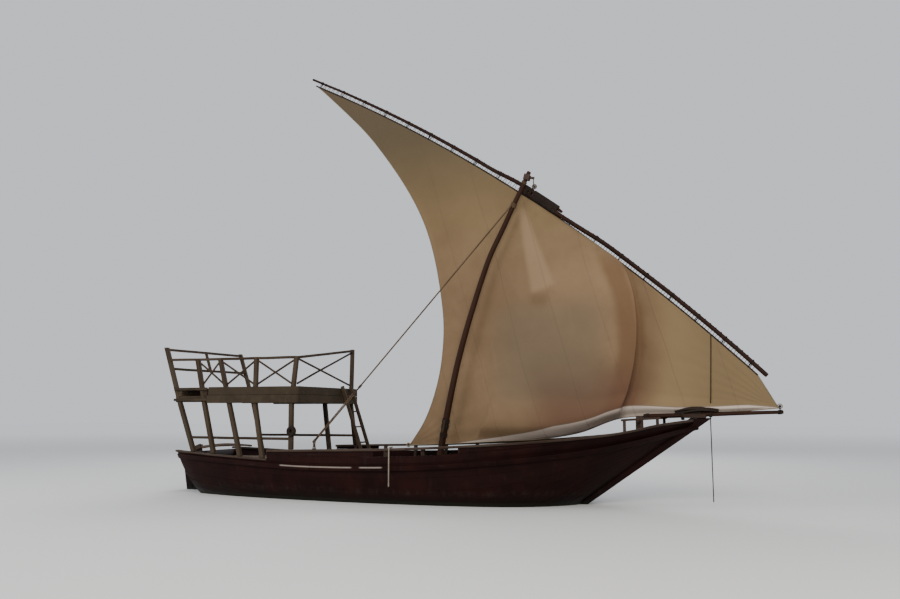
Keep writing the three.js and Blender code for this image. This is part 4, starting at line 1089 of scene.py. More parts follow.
def cross_boards(aft, fore, width, low, high):
    """Boards across the hull, edge to edge, each cut to the hull's side."""
    boards = []
    count = max(round((fore - aft) / width), 1)
    for k in range(count):
        start = aft + (fore - aft) * k / count + 0.001
        end = aft + (fore - aft) * (k + 1) / count - 0.002
        lift = chance.uniform(-0.0015, 0.0)

        def shape(a, b, c):
            x = start + (end - start) * b
            y = half_breadth(round(x, 4), low, SHELF_FACE)
            return Vector((x, y * (2 * a - 1), low + (high - low) * c + lift * c))

        boards.append(lattice((4, 0, 0), shape, (2 * half_breadth(aft, low, SHELF_FACE), width, high - low)))
    return boards


frames = [rib(x, side) for x in RIB_PLACES for side in (STARBOARD, PORT)]
frames += [floor_timber(x) for x in RIB_PLACES]
frames.append(lattice((26, 0, 0), keelson_shape, (KEELSON_LENGTH, KEELSON_WIDTH, KEELSON_DEPTH)))
woodwork("frames", frames, RAIL_TIMBER, "ribs_and_keelson", bevel=0.005, rough=0.003)
seats = []
for place in THWART_PLACES:
    seats += cross_boards(place - THWART_BOARD, place + THWART_BOARD, THWART_BOARD, THWART_LOW, SEAT_TOP)
for side in (STARBOARD, PORT):
    seats.append(strip(side, -4.15, 3.08, lambda x: SHELF_LOW, lambda x: SEAT_TOP,
                       SHELF_FACE, SHELF_FACE + SHELF_DEPTH))
woodwork("seats", seats, DECK_TIMBER, "thwarts", bevel=0.005, rough=0.002)
for name, deck, node in DECKS:
    woodwork(name, cross_boards(*deck), DECK_TIMBER, node)
woodwork("step_block", [board((-0.182, -0.075, -0.31), (0.138, 0.075, -0.182))], RAIL_TIMBER, "mast_step",
         bevel=0.008)


# Bow fittings

SPRIT_HEEL = Vector((3.68, 0, 1.425))
SPRIT_END = Vector((5.81, 0, 1.5))
BOW_RAIL = (0.042, 0.034)
BOW_POST = (0.044, 0.044)
HOOK_X = 5.76
HOOK_Z = 1.588
# Line of the hook at the bowsprit's end, as y and z, with its radius
HOOK = ((-0.036, 1.5, 0.009), (-0.05, 1.56, 0.009), (-0.052, HOOK_Z, 0.009), (-0.03, 1.589, 0.01),
        (0.0, HOOK_Z, 0.022), (0.02, HOOK_Z, 0.017))
# Place, turns, radius and thickness of the rope wound round the bowsprit
SPRIT_WRAPS = ((HOOK_X, 5, 0.031, 0.0065), (4.73, 4, 0.040, 0.006), (4.5, 9, 0.040, 0.008),
               (3.74, 4, 0.046, 0.007))
sprit_line = Line([SPRIT_HEEL.lerp(SPRIT_END, k / 4) for k in range(5)])


def sprit_share(x):
    return (x - SPRIT_HEEL.x) / (SPRIT_END.x - SPRIT_HEEL.x)


for side, name in SIDES:
    start, end = Vector((3.43, side * 0.64, 1.372)), Vector((4.0, side * 0.385, 1.405))
    parts = [timber(start, end, *BOW_RAIL, (0.4 * side, 1, 0))]
    for share in (0.08, 0.92):
        head = start.lerp(end, share)
        parts.append(timber((head.x, head.y, rail_top(head.x) - 0.012), head, *BOW_POST))
    woodwork(f"bow_rail_timber_{name}", parts, RAIL_TIMBER, f"bow_rail_{name}", bevel=0.006, rough=0.002)

woodwork("bitt_timber", [board((3.56, -0.045, 0.9303), (3.67, 0.045, 1.44), grain=2),
                         board((3.59, -0.21, 1.33), (3.64, 0.21, 1.385), grain=1)],
         RAIL_TIMBER, "bitt", bevel=0.008, rough=0.002)
woodwork("chock_timber", [board((4.3, -0.08, 1.4053), (4.66, 0.08, 1.468))], RAIL_TIMBER, "bowsprit_chock",
         bevel=0.012, rough=0.002)
made("bowsprit_pole", [pole(sprit_line, lambda t: 0.042 - 0.015 * t, count=14),
                       tube([(HOOK_X, y, z) for y, z, _ in HOOK], [radius for _, _, radius in HOOK], 12)],
     SPAR_WOOD, "bowsprit")
made("sprit_wraps", [coil(sprit_line, sprit_share(x), *wrap) for x, *wrap in SPRIT_WRAPS], TARRED_ROPE)


# Stern platform

FLOOR_Z = 1.93
FLOOR_BOARDS = 19
PLATFORM_AFT = -4.70
PLATFORM_FORE = -2.11
BEAM_PLACES = (PLATFORM_AFT + 0.09, -4.05, -3.3, -2.62, PLATFORM_FORE - 0.06)
BEAM_HALF = 0.038
BEAM_REACH = 1.097
POST = 0.076
POST_FOOT_Z = 0.78
KNEE_Z = 1.65
LOW_RAIL_Z = 1.04
SIDE_BEAM_Z = 1.735
BRACE_LOW = 1.98
BRACE_HIGH = 2.44
SIDE_Y = 1.06
# How far a post's foot stands inside the rail
POST_INSET = 0.062
RAIL = 0.046
# Widths and depths of the other timbers
BRACE = (0.024, 0.034)
SIDE_BEAM = (0.06, 0.11)
LADDER_SIDE = (0.04, 0.062)
RUNG = (0.056, 0.026)
# foot, knee and top x, and the top's z
STARBOARD_POSTS = [(-4.33, -4.62, -4.98, 2.70), (-3.835, -4.085, -4.27, 2.48), (-3.235, -3.55, -3.78, 2.48),
                   (-2.74, -3.005, -3.00, 2.48), (-2.125, -2.26, -2.17, 2.48)]
PORT_POSTS = [(-4.19, -4.44, -4.80, 2.70), (-2.74, -2.77, -2.77, 1.79), (-2.17, -2.19, -2.17, 2.73)]


def post_line(side, post, z):
    foot, knee, top, top_z = post
    foot_y = side * (hull_point(foot, 1.0)[0] - POST_INSET)
    if z < KNEE_Z:
        share = (z - POST_FOOT_Z) / (KNEE_Z - POST_FOOT_Z)
        return Vector((foot + (knee - foot) * share, foot_y + (side * SIDE_Y - foot_y) * share, z))
    above = (z - KNEE_Z) / (top_z - KNEE_Z)
    return Vector((knee + (top - knee) * above, side * SIDE_Y, z))


def post_timber(side, post):
    """A crooked post, by its rings at the foot, on both sides of the knee and at the top."""
    foot_z = rail_top(post[0]) if post[0] > CAP_AFT else sheer(post[0]) + QUARTER_CAP_THICK
    heights = [foot_z + 0.002, KNEE_Z - 0.04, KNEE_Z + 0.03, post[3]]
    ragged = chance.uniform(0.94, 1.05)

    def shape(a, b, c):
        k = round(a * 3)
        wide = POST * ragged * (1.0 if k < 2 else 0.96)
        return post_line(side, post, heights[k]) + Vector(((c - 0.5) * wide, (b - 0.5) * wide, 0))

    return lattice((2, 0, 0), shape, (2.0, POST, POST))


def rail_bar(start, end, **options):
    return timber(start, end, RAIL, RAIL, **options)


def brace(start, end, across, aside):
    """A thin diagonal that passes to one side of the other one."""
    shift = Vector((0, aside, 0)) if across[1] else Vector((aside, 0, 0))
    return timber(start + shift, end + shift, *BRACE, across, bow=0.006)


def side_frame(side, posts):
    parts = [post_timber(side, post) for post in posts]
    parts.append(rail_bar(post_line(side, posts[0], LOW_RAIL_Z), post_line(side, posts[-1], LOW_RAIL_Z),
                          cuts=6, bow=0.004))
    parts.append(timber((PLATFORM_AFT - 0.01, side * SIDE_Y, SIDE_BEAM_Z),
                        (PLATFORM_FORE - 0.04, side * SIDE_Y, SIDE_BEAM_Z), *SIDE_BEAM, cuts=6, bow=0.003))
    if side == STARBOARD:
        top = [post_line(side, post, post[3] - 0.02) for post in posts]
        rails = list(zip(top[1:], top[2:])) + [(post_line(side, posts[0], 2.465), top[1])]
        parts += [rail_bar(start, end, cuts=3, bow=0.004) for start, end in rails]
        for aft, fore in zip(posts[1:], posts[2:]):
            for start, end, aside in ((BRACE_LOW, BRACE_HIGH, 0.012), (BRACE_HIGH, BRACE_LOW, -0.012)):
                parts.append(brace(post_line(side, aft, start), post_line(side, fore, end), ALONG_Y, aside))
    return parts


for side, name, posts in ((STARBOARD, "starboard", STARBOARD_POSTS), (PORT, "port", PORT_POSTS)):
    woodwork(f"frame_timber_{name}", side_frame(side, posts), POST_TIMBER, f"platform_frame_{name}",
             bevel=0.006, rough=0.004)

floor_boards = []
width = (PLATFORM_FORE - PLATFORM_AFT) / FLOOR_BOARDS
for k in range(FLOOR_BOARDS):
    start = PLATFORM_AFT + width * k
    reach = chance.uniform(0.998, 1.01), chance.uniform(0.998, 1.01)
    floor_boards.append(board((start + 0.002, -reach[0], FLOOR_Z - 0.028),
                              (start + width - 0.002, reach[1], FLOOR_Z), grain=1, cuts=3))
for x in BEAM_PLACES:
    floor_boards.append(board((x - BEAM_HALF, -BEAM_REACH, 1.7903),
                              (x + BEAM_HALF, BEAM_REACH, FLOOR_Z - 0.0285), grain=1, cuts=3))
woodwork("floor_timber", floor_boards, POST_TIMBER, "platform_floor", rough=0.002)

FASCIA_AFT = -4.0
FASCIA_THICK = 0.026
# Underside and top of the fascia's two boards
FASCIA_BOARDS = ((1.66, 1.803), (1.806, 1.95))
FRAME_FACE = SIDE_Y + POST / 2 + FIT
FRONT_X = PLATFORM_FORE + FIT
for side, name in SIDES:
    y0, y1 = sorted((side * FRAME_FACE, side * (FRAME_FACE + FASCIA_THICK)))
    boards = [board((FASCIA_AFT + aft, y0, low), (PLATFORM_FORE, y1, high), cuts=5)
              for aft, (low, high) in zip((0, 0.03), FASCIA_BOARDS)]
    boards += [board((PLATFORM_AFT - 0.03, y0, low), (FASCIA_AFT - 0.002, y1, high), cuts=3)
               for low, high in ((1.895, 1.945), (1.7, 1.745))]
    woodwork(f"fascia_boards_{name}", boards, FASCIA_PAINT, f"fascia_{name}", bevel=0.003, rough=0.003)
front_reach = FRAME_FACE + FASCIA_THICK
woodwork("fascia_boards_front", [
    board((FRONT_X, -front_reach, low), (FRONT_X + FASCIA_THICK, front_reach, high), grain=1, cuts=5)
    for low, high in FASCIA_BOARDS
], FASCIA_PAINT, "fascia_front", bevel=0.003, rough=0.002)

FRONT_RAIL_X = -2.165
RAIL_END = SIDE_Y - POST / 2 - FIT
LADDER_FOOT = -0.1547
LADDER_TOP_X = FRONT_X + FASCIA_THICK + 0.036
LADDER_TOP_Z = 1.9
LADDER_SPREAD = 0.72


def front(y, z):
    return Vector((FRONT_RAIL_X, y, z))


def stern_ends(z):
    ends = [post_line(STARBOARD, STARBOARD_POSTS[0], z), post_line(PORT, PORT_POSTS[0], z)]
    inset = (ends[1] - ends[0]).normalized() * (POST / 2 + 0.001)
    return ends[0] + inset, ends[1] - inset


def stern_middle(z):
    start, end = stern_ends(z)
    return start.lerp(end, 0.5)


def ladder_point(z, y):
    return LADDER_TOP_X + (LADDER_TOP_Z - z) * LADDER_SPREAD / (LADDER_TOP_Z - LADDER_FOOT), y, z


woodwork("front_rail_timber", [
    rail_bar(front(-RAIL_END, 2.46), front(RAIL_END, 2.7), across=ALONG_X, cuts=5, bow=0.006),
    brace(front(-RAIL_END, 2.0), front(RAIL_END, 2.66), ALONG_X, -0.011),
    brace(front(-RAIL_END, 2.43), front(RAIL_END, 2.0), ALONG_X, 0.011),
], POST_TIMBER, "platform_front_rail", bevel=0.005, rough=0.003)
woodwork("stern_rail_timber", [
    rail_bar(*stern_ends(2.66), across=ALONG_X, cuts=5, bow=0.006),
    rail_bar(*stern_ends(2.3), across=ALONG_X, cuts=5, bow=0.006),
    rail_bar(stern_middle(2.28), stern_middle(2.68)),
], POST_TIMBER, "stern_rail", bevel=0.005, rough=0.003)
ladder = [timber(ladder_point(LADDER_FOOT, y), ladder_point(1.99, y), *LADDER_SIDE, cuts=6, bow=0.006)
          for y in (0.48, 0.82)]
for z in [0.06 + 0.29 * k for k in range(7)]:
    ladder.append(timber(ladder_point(z, 0.475), ladder_point(z, 0.825), *RUNG, ALONG_X, cuts=1, bow=0.003))
woodwork("ladder_timber", ladder, POST_TIMBER, "ladder", rough=0.003)


# Rudder and tiller

RUDDER_AXIS_X = -4.565
RAKE = math.atan(STERN_SLOPE)
PINTLES = (-0.42, 0.09, 0.56)
BLADE_TRAIL = [(-0.47, -0.54), (-0.14, -0.62), (0.232, -0.602), (0.70, -0.515), (0.79, -0.165), (0.96, -0.15)]
BLADE_LEAD = -0.034
BLADE_PLANKS = ((0.0, 0.325), (0.335, 0.66), (0.67, 1.0))
STOCK_BACK = 0.162
BLADE_FOOT = -0.64
BLADE_HEIGHT = 1.6
# Widths and depths of the irons, and the radius of their bolts
STRAP = (0.008, 0.034)
GUDGEON_ARM = (0.007, 0.05)
BOLT = 0.009
TILLER_LENGTH = 1.25
TILLER_Z = 0.905
TILLER_RISE = 0.06


def on_axis(x, y, z):
    """From the rudder's own frame, with its axis up, to the boat's."""
    return Vector((RUDDER_AXIS_X + x * math.cos(RAKE) - z * math.sin(RAKE), y,
                   x * math.sin(RAKE) + z * math.cos(RAKE)))


def table_value(table, at):
    """Value of a table's second column, on straight lines through its rows."""
    for (at0, value0), (at1, value1) in zip(table, table[1:]):
        if at <= at1:
            return value0 + (value1 - value0) * max(at - at0, 0) / (at1 - at0)
    return table[-1][1]


def trail(z):
    return table_value(BLADE_TRAIL, z)


def blade_stock(a, b, c):
    z = BLADE_FOOT + 0.04 * c + (BLADE_HEIGHT - 0.04 * c) * a
    half = 0.024 * (1 - 0.1 * c)
    return on_axis(BLADE_LEAD - 0.124 * c, half * (2 * b - 1), z)


def blade_plank(low, high):
    def shape(a, b, c):
        part = low + (high - low) * c
        foot = -0.596 + 0.126 * part
        z = foot + (0.787 - 0.087 * part - foot) * a
        x = -STOCK_BACK + (trail(min(z, 0.7)) + STOCK_BACK) * part
        half = 0.0225 * (1 - 0.3 * part)
        return on_axis(x, half * (2 * b - 1), z)

    return lattice((12, 0, 0), shape, (1.4, 0.045, 0.15))


def bolt(x, y, z, side):
    spot = on_axis(x, side * y, z)
    return rod(spot, spot + Vector((0, side * BOLT, 0)), BOLT, 8)


woodwork("rudder_planks", [lattice((10, 0, 0), blade_stock, (1.6, 0.048, 0.13))]
         + [blade_plank(low, high) for low, high in BLADE_PLANKS],
         HULL_PAINT, "rudder", body=RUDDER_BODY, bevel=0.005, rough=0.0015)
straps = []
for z in PINTLES:
    strap_z = z + 0.052
    straps.append(rod(on_axis(0, 0, z - 0.034), on_axis(0, 0, z + 0.074), 0.014))
    straps.append(rod(on_axis(0, 0, z + 0.035), on_axis(0, 0, z + 0.069), 0.03, 16))
    reach = min(0.34, -trail(z + 0.05) - 0.03)
    for side in (STARBOARD, PORT):
        y = side * 0.0285
        straps.append(timber(on_axis(0.004, y, strap_z), on_axis(-reach, y * 0.8, strap_z), *STRAP,
                             cuts=3, bow=0.0005))
        straps += [bolt(-0.06 - (reach - 0.09) * k / 2, 0.03 * (1 - 0.06 * k), strap_z, side)
                   for k in range(3)]
made("rudder_irons", straps, IRON, body=RUDDER_BODY)
for k, z in enumerate(PINTLES):
    parts = [rod(on_axis(0, 0, z - 0.026), on_axis(0, 0, z + 0.026), 0.0298, 18)]
    for side in (STARBOARD, PORT):
        y = side * (BACKBONE_WIDTH / 2 + 0.0038)
        parts.append(timber(on_axis(0.03, y * 0.5, z), on_axis(0.062, y, z), *GUDGEON_ARM, cuts=1))
        parts.append(timber(on_axis(0.06, y, z), on_axis(0.16, y, z), *GUDGEON_ARM, cuts=1))
        parts += [bolt(x, BACKBONE_WIDTH / 2 + 0.006, z, side) for x in (0.08, 0.135)]
    made(f"gudgeon_iron_{k + 1}", parts, IRON, f"gudgeon_{k + 1}")

tiller_from = on_axis(-0.125, 0, TILLER_Z)
tiller_line = Line([bezier(tiller_from, tiller_from + Vector((TILLER_LENGTH * 0.5, 0, TILLER_RISE + 0.05)),
                           tiller_from + Vector((TILLER_LENGTH, 0, TILLER_RISE)), k / 10) for k in range(11)])
made("tiller_stock", [pole(tiller_line, lambda t: 0.034 - 0.012 * t - 0.004 * math.sin(9 * t), 26, 14)],
     ROUND_TIMBER, "tiller", body=RUDDER_BODY)
woodwork("tiller_cheeks", [
    timber(on_axis(-0.15, side * 0.0355, TILLER_Z), on_axis(-0.012, side * 0.0355, TILLER_Z), 0.021, 0.078)
    for side in (STARBOARD, PORT)
], RAIL_TIMBER, body=RUDDER_BODY, bevel=0.006)


# Mast

MAST_LINE = [(-0.022, -0.19), (0.08, 0.45), (0.189, 1.081), (0.389, 2.06), (0.575, 2.763), (0.797, 3.466),
             (1.049, 4.168), (1.394, 4.863), (1.651, 5.382), (1.815, 5.698)]
SPAR_KNOTS = 0.002
# Places of the cleats on the mast, as shares of its length
CLEATS = ((0.235, STARBOARD), (0.25, PORT))
# Place, turns, clearance and thickness of the rope wound round the mast
MAST_WRAPS = ((0.235, 6, 0.007, 0.0065), (0.25, 6, 0.007, 0.0065), (0.21, 5, 0.006, 0.007))
mast_line = Line([(x, 0, z) for x, z in MAST_LINE])


def mast_radius(t):
    return 0.060 - 0.022 * t ** 1.3


def mast_x(z):
    i = 0
    while i < len(MAST_LINE) - 2 and z > MAST_LINE[i + 1][1]:
        i += 1
    (x0, z0), (x1, z1) = MAST_LINE[i], MAST_LINE[i + 1]
    return x0 + (x1 - x0) * (z - z0) / (z1 - z0)


made("mast_pole", [pole(mast_line, mast_radius, 70, 22, SPAR_KNOTS)], SPAR_WOOD, "mast")
woodwork("mast_cleats", [timber(mast_line.at(t) + Vector((-0.02, side * 0.07, -0.11)),
                                mast_line.at(t) + Vector((0.02, side * 0.07, 0.11)), 0.028, 0.036, cuts=1)
                         for t, side in CLEATS],
         RAIL_TIMBER, bevel=0.006)
made("mast_wraps", [coil(mast_line, t, turns, mast_radius(t) + clear_by, thick)
                    for t, turns, clear_by, thick in MAST_WRAPS], TARRED_ROPE)


# Yard

YARD_HEEL = Vector((5.6, 0.04, 2.06))
YARD_PEAK = Vector((-2.72, 0.24, 8.11))
YARD_LENGTH = 10.3
YARD_SAG = 0.415
YARD_SPREAD = 0.041
YARD_RISE = Vector((6.05, 0, 8.32)).normalized()
LOWER_TO = 0.498
UPPER_FROM = 0.42
SLING_AT = 0.488
WRAP_RADIUS = 0.048
LOOP_STEPS = 20
JOINT_ROPE = 0.0064
SLING_ROPE = 0.0042


def smooth(t):
    s = min(max(t, 0.0), 1.0)
    return s * s * (3 - 2 * s)


def yard_centre(t, lift=0.0):
    return YARD_HEEL.lerp(YARD_PEAK, t) + YARD_RISE * (4 * YARD_SAG * t * (1 - t) + lift)


def yard_run(t):
    return (yard_centre(t + 0.01) - yard_centre(t - 0.01)).normalized()


def lower_lift(t):
    return -YARD_SPREAD * smooth((t - 0.33) / 0.075)


def upper_lift(t):
    return YARD_SPREAD * (1 - smooth((t - 0.505) / 0.075)) - 0.015 * (1 - smooth((t - UPPER_FROM) / 0.04))


def yard_path(start, end, lift, count):
    places = [start + (end - start) * k / count for k in range(count + 1)]
    return Line([yard_centre(t, lift(t)) for t in places])


def lower_radius(t):
    return 0.036 + 0.004 * math.sin(math.pi * 0.62 * t)


def upper_radius(t):
    return (0.040 - 0.018 * t ** 1.2) * (0.62 + 0.38 * smooth(t / 0.07))


def spars_at(t, clearance):
    """The round spars at one place of the yard, as heights off its line and radii with a clearance."""
    spars = []
    if t < LOWER_TO:
        spars.append((lower_lift(t), lower_radius(t / LOWER_TO) + clearance))
    if t > UPPER_FROM:
        spars.append((upper_lift(t), upper_radius((t - UPPER_FROM) / (1 - UPPER_FROM)) + clearance))
    return spars


def hugging(t, rounds, turn):
    """A point of the line that is drawn tight round some rounds, square to the yard."""
    run = yard_run(t)
    rise = Vector(ALONG_Y).cross(run).normalized()
    if rise.z < 0:
        rise = -rise
    lift, radius = max(rounds, key=lambda item: item[0] * math.cos(turn) + item[1])
    return yard_centre(t, lift) + rise * (radius * math.cos(turn)) + Vector((0, radius * math.sin(turn), 0))


def loop_round(t, rounds, thick, slant):
    """A closed loop of rope, which leans along the yard by a random slant."""
    lean = chance.uniform(-slant, slant)
    points = []
    for k in range(LOOP_STEPS):
        turn = 2 * math.pi * k / LOOP_STEPS
        points.append(hugging(t, rounds, turn) + yard_run(t) * (lean * math.sin(turn)))
    return tube(points, thick, 6, closed=True)


def wrapping(t, count, thick):
    """Close turns of rope round all the spars at one place of the yard."""
    rounds = spars_at(t, thick)
    pitch = WRAP_PITCH * thick / YARD_LENGTH
    return [loop_round(t + (k - (count - 1) / 2) * pitch, rounds, thick, 0.002) for k in range(count)]


for name, line, radius, count in (
    ("yard_lower", yard_path(0, LOWER_TO, lower_lift, 12), lower_radius, 50),
    ("yard_upper", yard_path(UPPER_FROM, 1, upper_lift, 28), upper_radius, 70),
):
    made(f"{name}_pole", [pole(line, radius, count, knots=SPAR_KNOTS)], SPAR_WOOD, name, body=YARD_BODY)
made("joint_wraps", wrapping(0.4555, 43, JOINT_ROPE) + wrapping(0.4965, 7, JOINT_ROPE), TARRED_ROPE,
     body=YARD_BODY)


# Sail

HEAD_DROP = 0.094
HEAD_FROM = 0.012
HEAD_TO = 0.985
TACK = Vector((5.74, 0.003, 1.561))
CLEW = (-0.56, 0.25, 0.905)
LEECH = [(-2.61, 8.01), (-1.22, 6.5), (-0.28, 4.95), (0.08, 3.34), (0.08, 2.61), (-0.03, 1.98),
         (-0.26, 1.36), (CLEW[0], CLEW[2])]
FOOT = [tuple(TACK), (4.87, 0.09, 1.485), (4.28, 0.11, 1.45), (3.3, 0.095, 1.4), (2.61, 0.095, 1.16),
        (1.92, 0.105, 1.045), (1.2, 0.115, 1.0), (0.47, 0.135, 0.955), CLEW]
# Height of the pale strip above the foot, from the clew to the tack, by x
FOOT_STRIP = [(-0.6, 0.0), (0.3, 0.0), (1.2, 0.08), (2.2, 0.2), (3.1, 0.21), (4.2, 0.13), (5.3, 0.09),
              (5.8, 0.0)]
FOLD_X = 3.45
FOLD_Z = 2.85
FOLD_BOW = 0.12
FOLD_COLUMN = 0.4
BELLY_DEPTH = 0.47
BELLY_OVERHANG = 0.21
BELLY_LEAST = 1.3
FOLD_WIDTH = 0.09
FOOT_ROLL = 0.075
SAIL_COLUMNS = 190
SAIL_ROWS = 150
SAIL_THICK = 0.003
EDGE_SAMPLES = 400
# Direction of the leech, along which the panels run, as x and z
PANEL_RUN = Vector((-2.05, 7.1)).normalized()

leech_line = Line([(x, CLEW[1], z) for x, z in LEECH])
foot_line = Line(FOOT)


def head_point(u):
    return yard_centre(HEAD_FROM + (HEAD_TO - HEAD_FROM) * u, -HEAD_DROP)


def fold_x(z):
    return FOLD_X - FOLD_BOW * (z - FOLD_Z) ** 2


def flat_point(u, v):
    leech = leech_line.at(v).lerp(head_point(1), max(0.0, 1 - 6 * v))
    tops = head_point(0).lerp(head_point(1), u)
    bottoms = TACK.lerp(foot_line.at(1), u)
    luff = head_point(0).lerp(TACK, v)
    return (head_point(u) * (1 - v) + foot_line.at(u) * v + luff * (1 - u) + leech * u
            - tops * (1 - v) - bottoms * v)


@cache
def fold_share(v):
    """Where the sail folds over, as a share of its width."""
    def before_fold(u):
        p = flat_point(u, v)
        return p.x > fold_x(p.z)

    return halving(0.05, 0.75, 20, before_fold)


def sail_point(column, v):
    fold = fold_share(v)
    if column < FOLD_COLUMN:
        u = fold * column / FOLD_COLUMN
    else:
        u = fold + (1 - fold) * (column - FOLD_COLUMN) / (1 - FOLD_COLUMN)
    p = flat_point(u, v)
    full = max(math.sin(math.pi * v ** 1.16), 0.0) ** 0.6
    if column < FOLD_COLUMN:
        share = crest = smooth(1 - (FOLD_COLUMN - column) / FOLD_COLUMN / FOLD_WIDTH)
    else:
        span = max(fold_x(p.z) - mast_x(p.z), BELLY_LEAST)
        share = min(max((p.x - mast_x(p.z)) / span, 0.0), 1.0)
        crest = math.sin(share * math.pi / 2) ** 1.2
    roll = smooth((v - 0.86) / 0.09) * (1 - smooth((v - 0.95) / 0.05))
    in_roll = smooth(column / 0.1) * smooth((0.95 - column) / 0.15)
    p.x += BELLY_OVERHANG * full * share ** 3
    p.y -= BELLY_DEPTH * full * crest + FOOT_ROLL * roll * in_roll * (1 if column < 0.8 else 0.3)
    return p


def wrinkle(p, column, v):
    """Small folds: fans from the tack, the clew and the robands, and slack cloth along the foot."""
    inner = smooth(v / 0.04) * smooth((1 - v) / 0.02) * smooth(column / 0.02) * smooth((1 - column) / 0.02)
    tack = Vector((p.x - TACK.x, 0, p.z - TACK.z))
    bearing = math.atan2(tack.z, -tack.x)
    fan = math.sin(bearing * 46 + noise.noise(p * 1.3) * 2.5) * math.exp(-tack.length / 1.5)
    clew = Vector((p.x - CLEW[0], 0, p.z - CLEW[2]))
    clew_fan = math.sin(math.atan2(clew.z, clew.x) * 30 + noise.noise(p * 1.1)) * math.exp(-clew.length / 1.6)
    head = math.sin(column * 2 * math.pi * 32) * math.exp(-v * 26)
    slack = noise.noise(Vector((p.x * 0.9, p.z * 3.4, 1.7))) * smooth((v - 0.45) / 0.5)
    broad = noise.noise(Vector((p.x * 0.7 + p.z * 0.5, p.z * 0.35 - p.x * 0.2, 4.1)))
    fine = noise.noise(Vector((p.x * 3.0 + p.z * 1.6, p.z * 1.5 - p.x * 0.7, 7.3)))
    return inner * (0.0035 * fan + 0.005 * clew_fan + 0.005 * head + 0.012 * slack + 0.012 * broad
                    + 0.004 * fine)


def row_share(k):
    """Rows lie closer together towards the foot, where the cloth rolls."""
    t = k / SAIL_ROWS
    return t * 1.18 if t < 0.7 else 0.826 + (t - 0.7) * 0.58


def sail_cloth():
    clear()
    bpy.ops.mesh.primitive_grid_add(x_subdivisions=SAIL_COLUMNS, y_subdivisions=SAIL_ROWS, size=2)
    piece = bpy.context.active_object
    mesh = piece.data
    places, pushes, tones, foot_spots = [], [], [], {}
    for vertex in mesh.vertices:
        column = round((vertex.co.x + 1) / 2, 6)
        if column not in foot_spots:
            foot_spots[column] = sail_point(column, 1.0)
        v = row_share(round((vertex.co.y + 1) / 2 * SAIL_ROWS))
        p = sail_point(column, round(v, 6))
        places.append(p)
        pushes.append(wrinkle(p, column, v))
        above = p.z - foot_spots[column].z - table_value(FOOT_STRIP, p.x)
        tones.append(min(max(0.5 + above * 2, 0.0), 1.0))
    for vertex, p in zip(mesh.vertices, places):
        vertex.co = p
    mesh.update()
    normals = [normal.vector.copy() for normal in mesh.vertex_normals]
    for vertex, p, push, normal in zip(mesh.vertices, places, pushes, normals):
        vertex.co = p + normal * push
    layer = mesh.uv_layers.active
    for loop in mesh.loops:
        p = places[loop.vertex_index]
        layer.data[loop.index].uv = (p.x * PANEL_RUN.y - p.z * PANEL_RUN.x,
                                     p.x * PANEL_RUN.x + p.z * PANEL_RUN.y)
    mark_tone(piece, tones)
    piece.name = "sail_cloth"
    apply_modifier(piece, "SOLIDIFY", thickness=SAIL_THICK, offset=0)
    hold(piece)
    bpy.ops.object.shade_smooth_by_angle(angle=math.radians(60))
    return dress(piece, CANVAS, "sail", body=YARD_BODY)


def sail_edge(count, spot):
    return Line([sail_point(*spot(k / count)) for k in range(count + 1)], samples=EDGE_SAMPLES)


sail = sail_cloth()
head_edge = sail_edge(60, lambda t: (t, 0.0))
foot_edge = sail_edge(60, lambda t: (t, 1.0))
leech_edge = sail_edge(40, lambda t: (1.0, t))
luff_edge = sail_edge(8, lambda t: (0.0, t))
sail_rope = made("bolt_ropes", [
    tube(foot_edge.cut(110), 0.008, 8),
    tube(leech_edge.cut(90), 0.007, 8),
    tube(luff_edge.cut(12), 0.0085, 8),
    ring((HOOK_X, 0, HOOK_Z), 0.035, 0.008),
], ROPE, body=YARD_BODY)
head_rope = made("head_rope", [tube(head_edge.cut(150), 0.0135, 8)], TARRED_ROPE, body=YARD_BODY)

LACING_TURNS = 92
LACING_STEPS = 12
ROBANDS = 19
lacing = []
for k in range(LACING_TURNS * LACING_STEPS + 1):
    t = 0.02 + 0.957 * k / (LACING_TURNS * LACING_STEPS)
    lacing.append(hugging(t, spars_at(t, 0.006) + [(-HEAD_DROP, 0.011)], 2 * math.pi * k / LACING_STEPS))
stops = []
for k in range(ROBANDS):
    t = 0.03 + 0.945 * k / (ROBANDS - 1)
    rounds = spars_at(t, 0.005) + [(-HEAD_DROP, 0.012)]
    stops += [loop_round(t + off, rounds, 0.0045, 0.008) for off in (-0.0008, 0.0008)]
made("robands", [tube(lacing, 0.0048, 6)] + stops, TARRED_ROPE, body=YARD_BODY)
clew_rope = made("clew_grommet", [ring(foot_line.at(1) + Vector((-0.026, 0, 0.004)), 0.031, 0.0105, 10)],
                 ROPE, "clew_strop", body=YARD_BODY)
toggle_ball = yard_centre(SLING_AT, upper_lift(SLING_AT) + WRAP_RADIUS + 0.043)
made("sling_wraps", wrapping(SLING_AT, 7, SLING_ROPE) + [ring(toggle_ball, 0.04, 0.0088)], TARRED_ROPE,
     "yard_sling", body=YARD_BODY)

# A thin line that lies on the sail's fore part, found on the sail step by step
THIN_LINE_STEPS = 13
thin_line = []
for k in range(THIN_LINE_STEPS + 1):
    t = k / THIN_LINE_STEPS
    target_x, target_z = 4.775 - 0.045 * t, 2.74 - 1.1 * t
    column, v = 0.17, 0.2 + 0.75 * t
    for _ in range(30):
        p = sail_point(round(column, 6), round(v, 6))
        column = min(max(column - (target_x - p.x) * 0.06, 0.01), 0.38)
        v = min(max(v + (p.z - target_z) * 0.3, 0.01), 0.99)
    thin_line.append(sail_point(column, v) + Vector((0, -0.011, 0)))
sail_line = made("sail_line", [tube(thin_line, 0.008, 6)], TARRED_ROPE, body=YARD_BODY)


# Halyard and stay

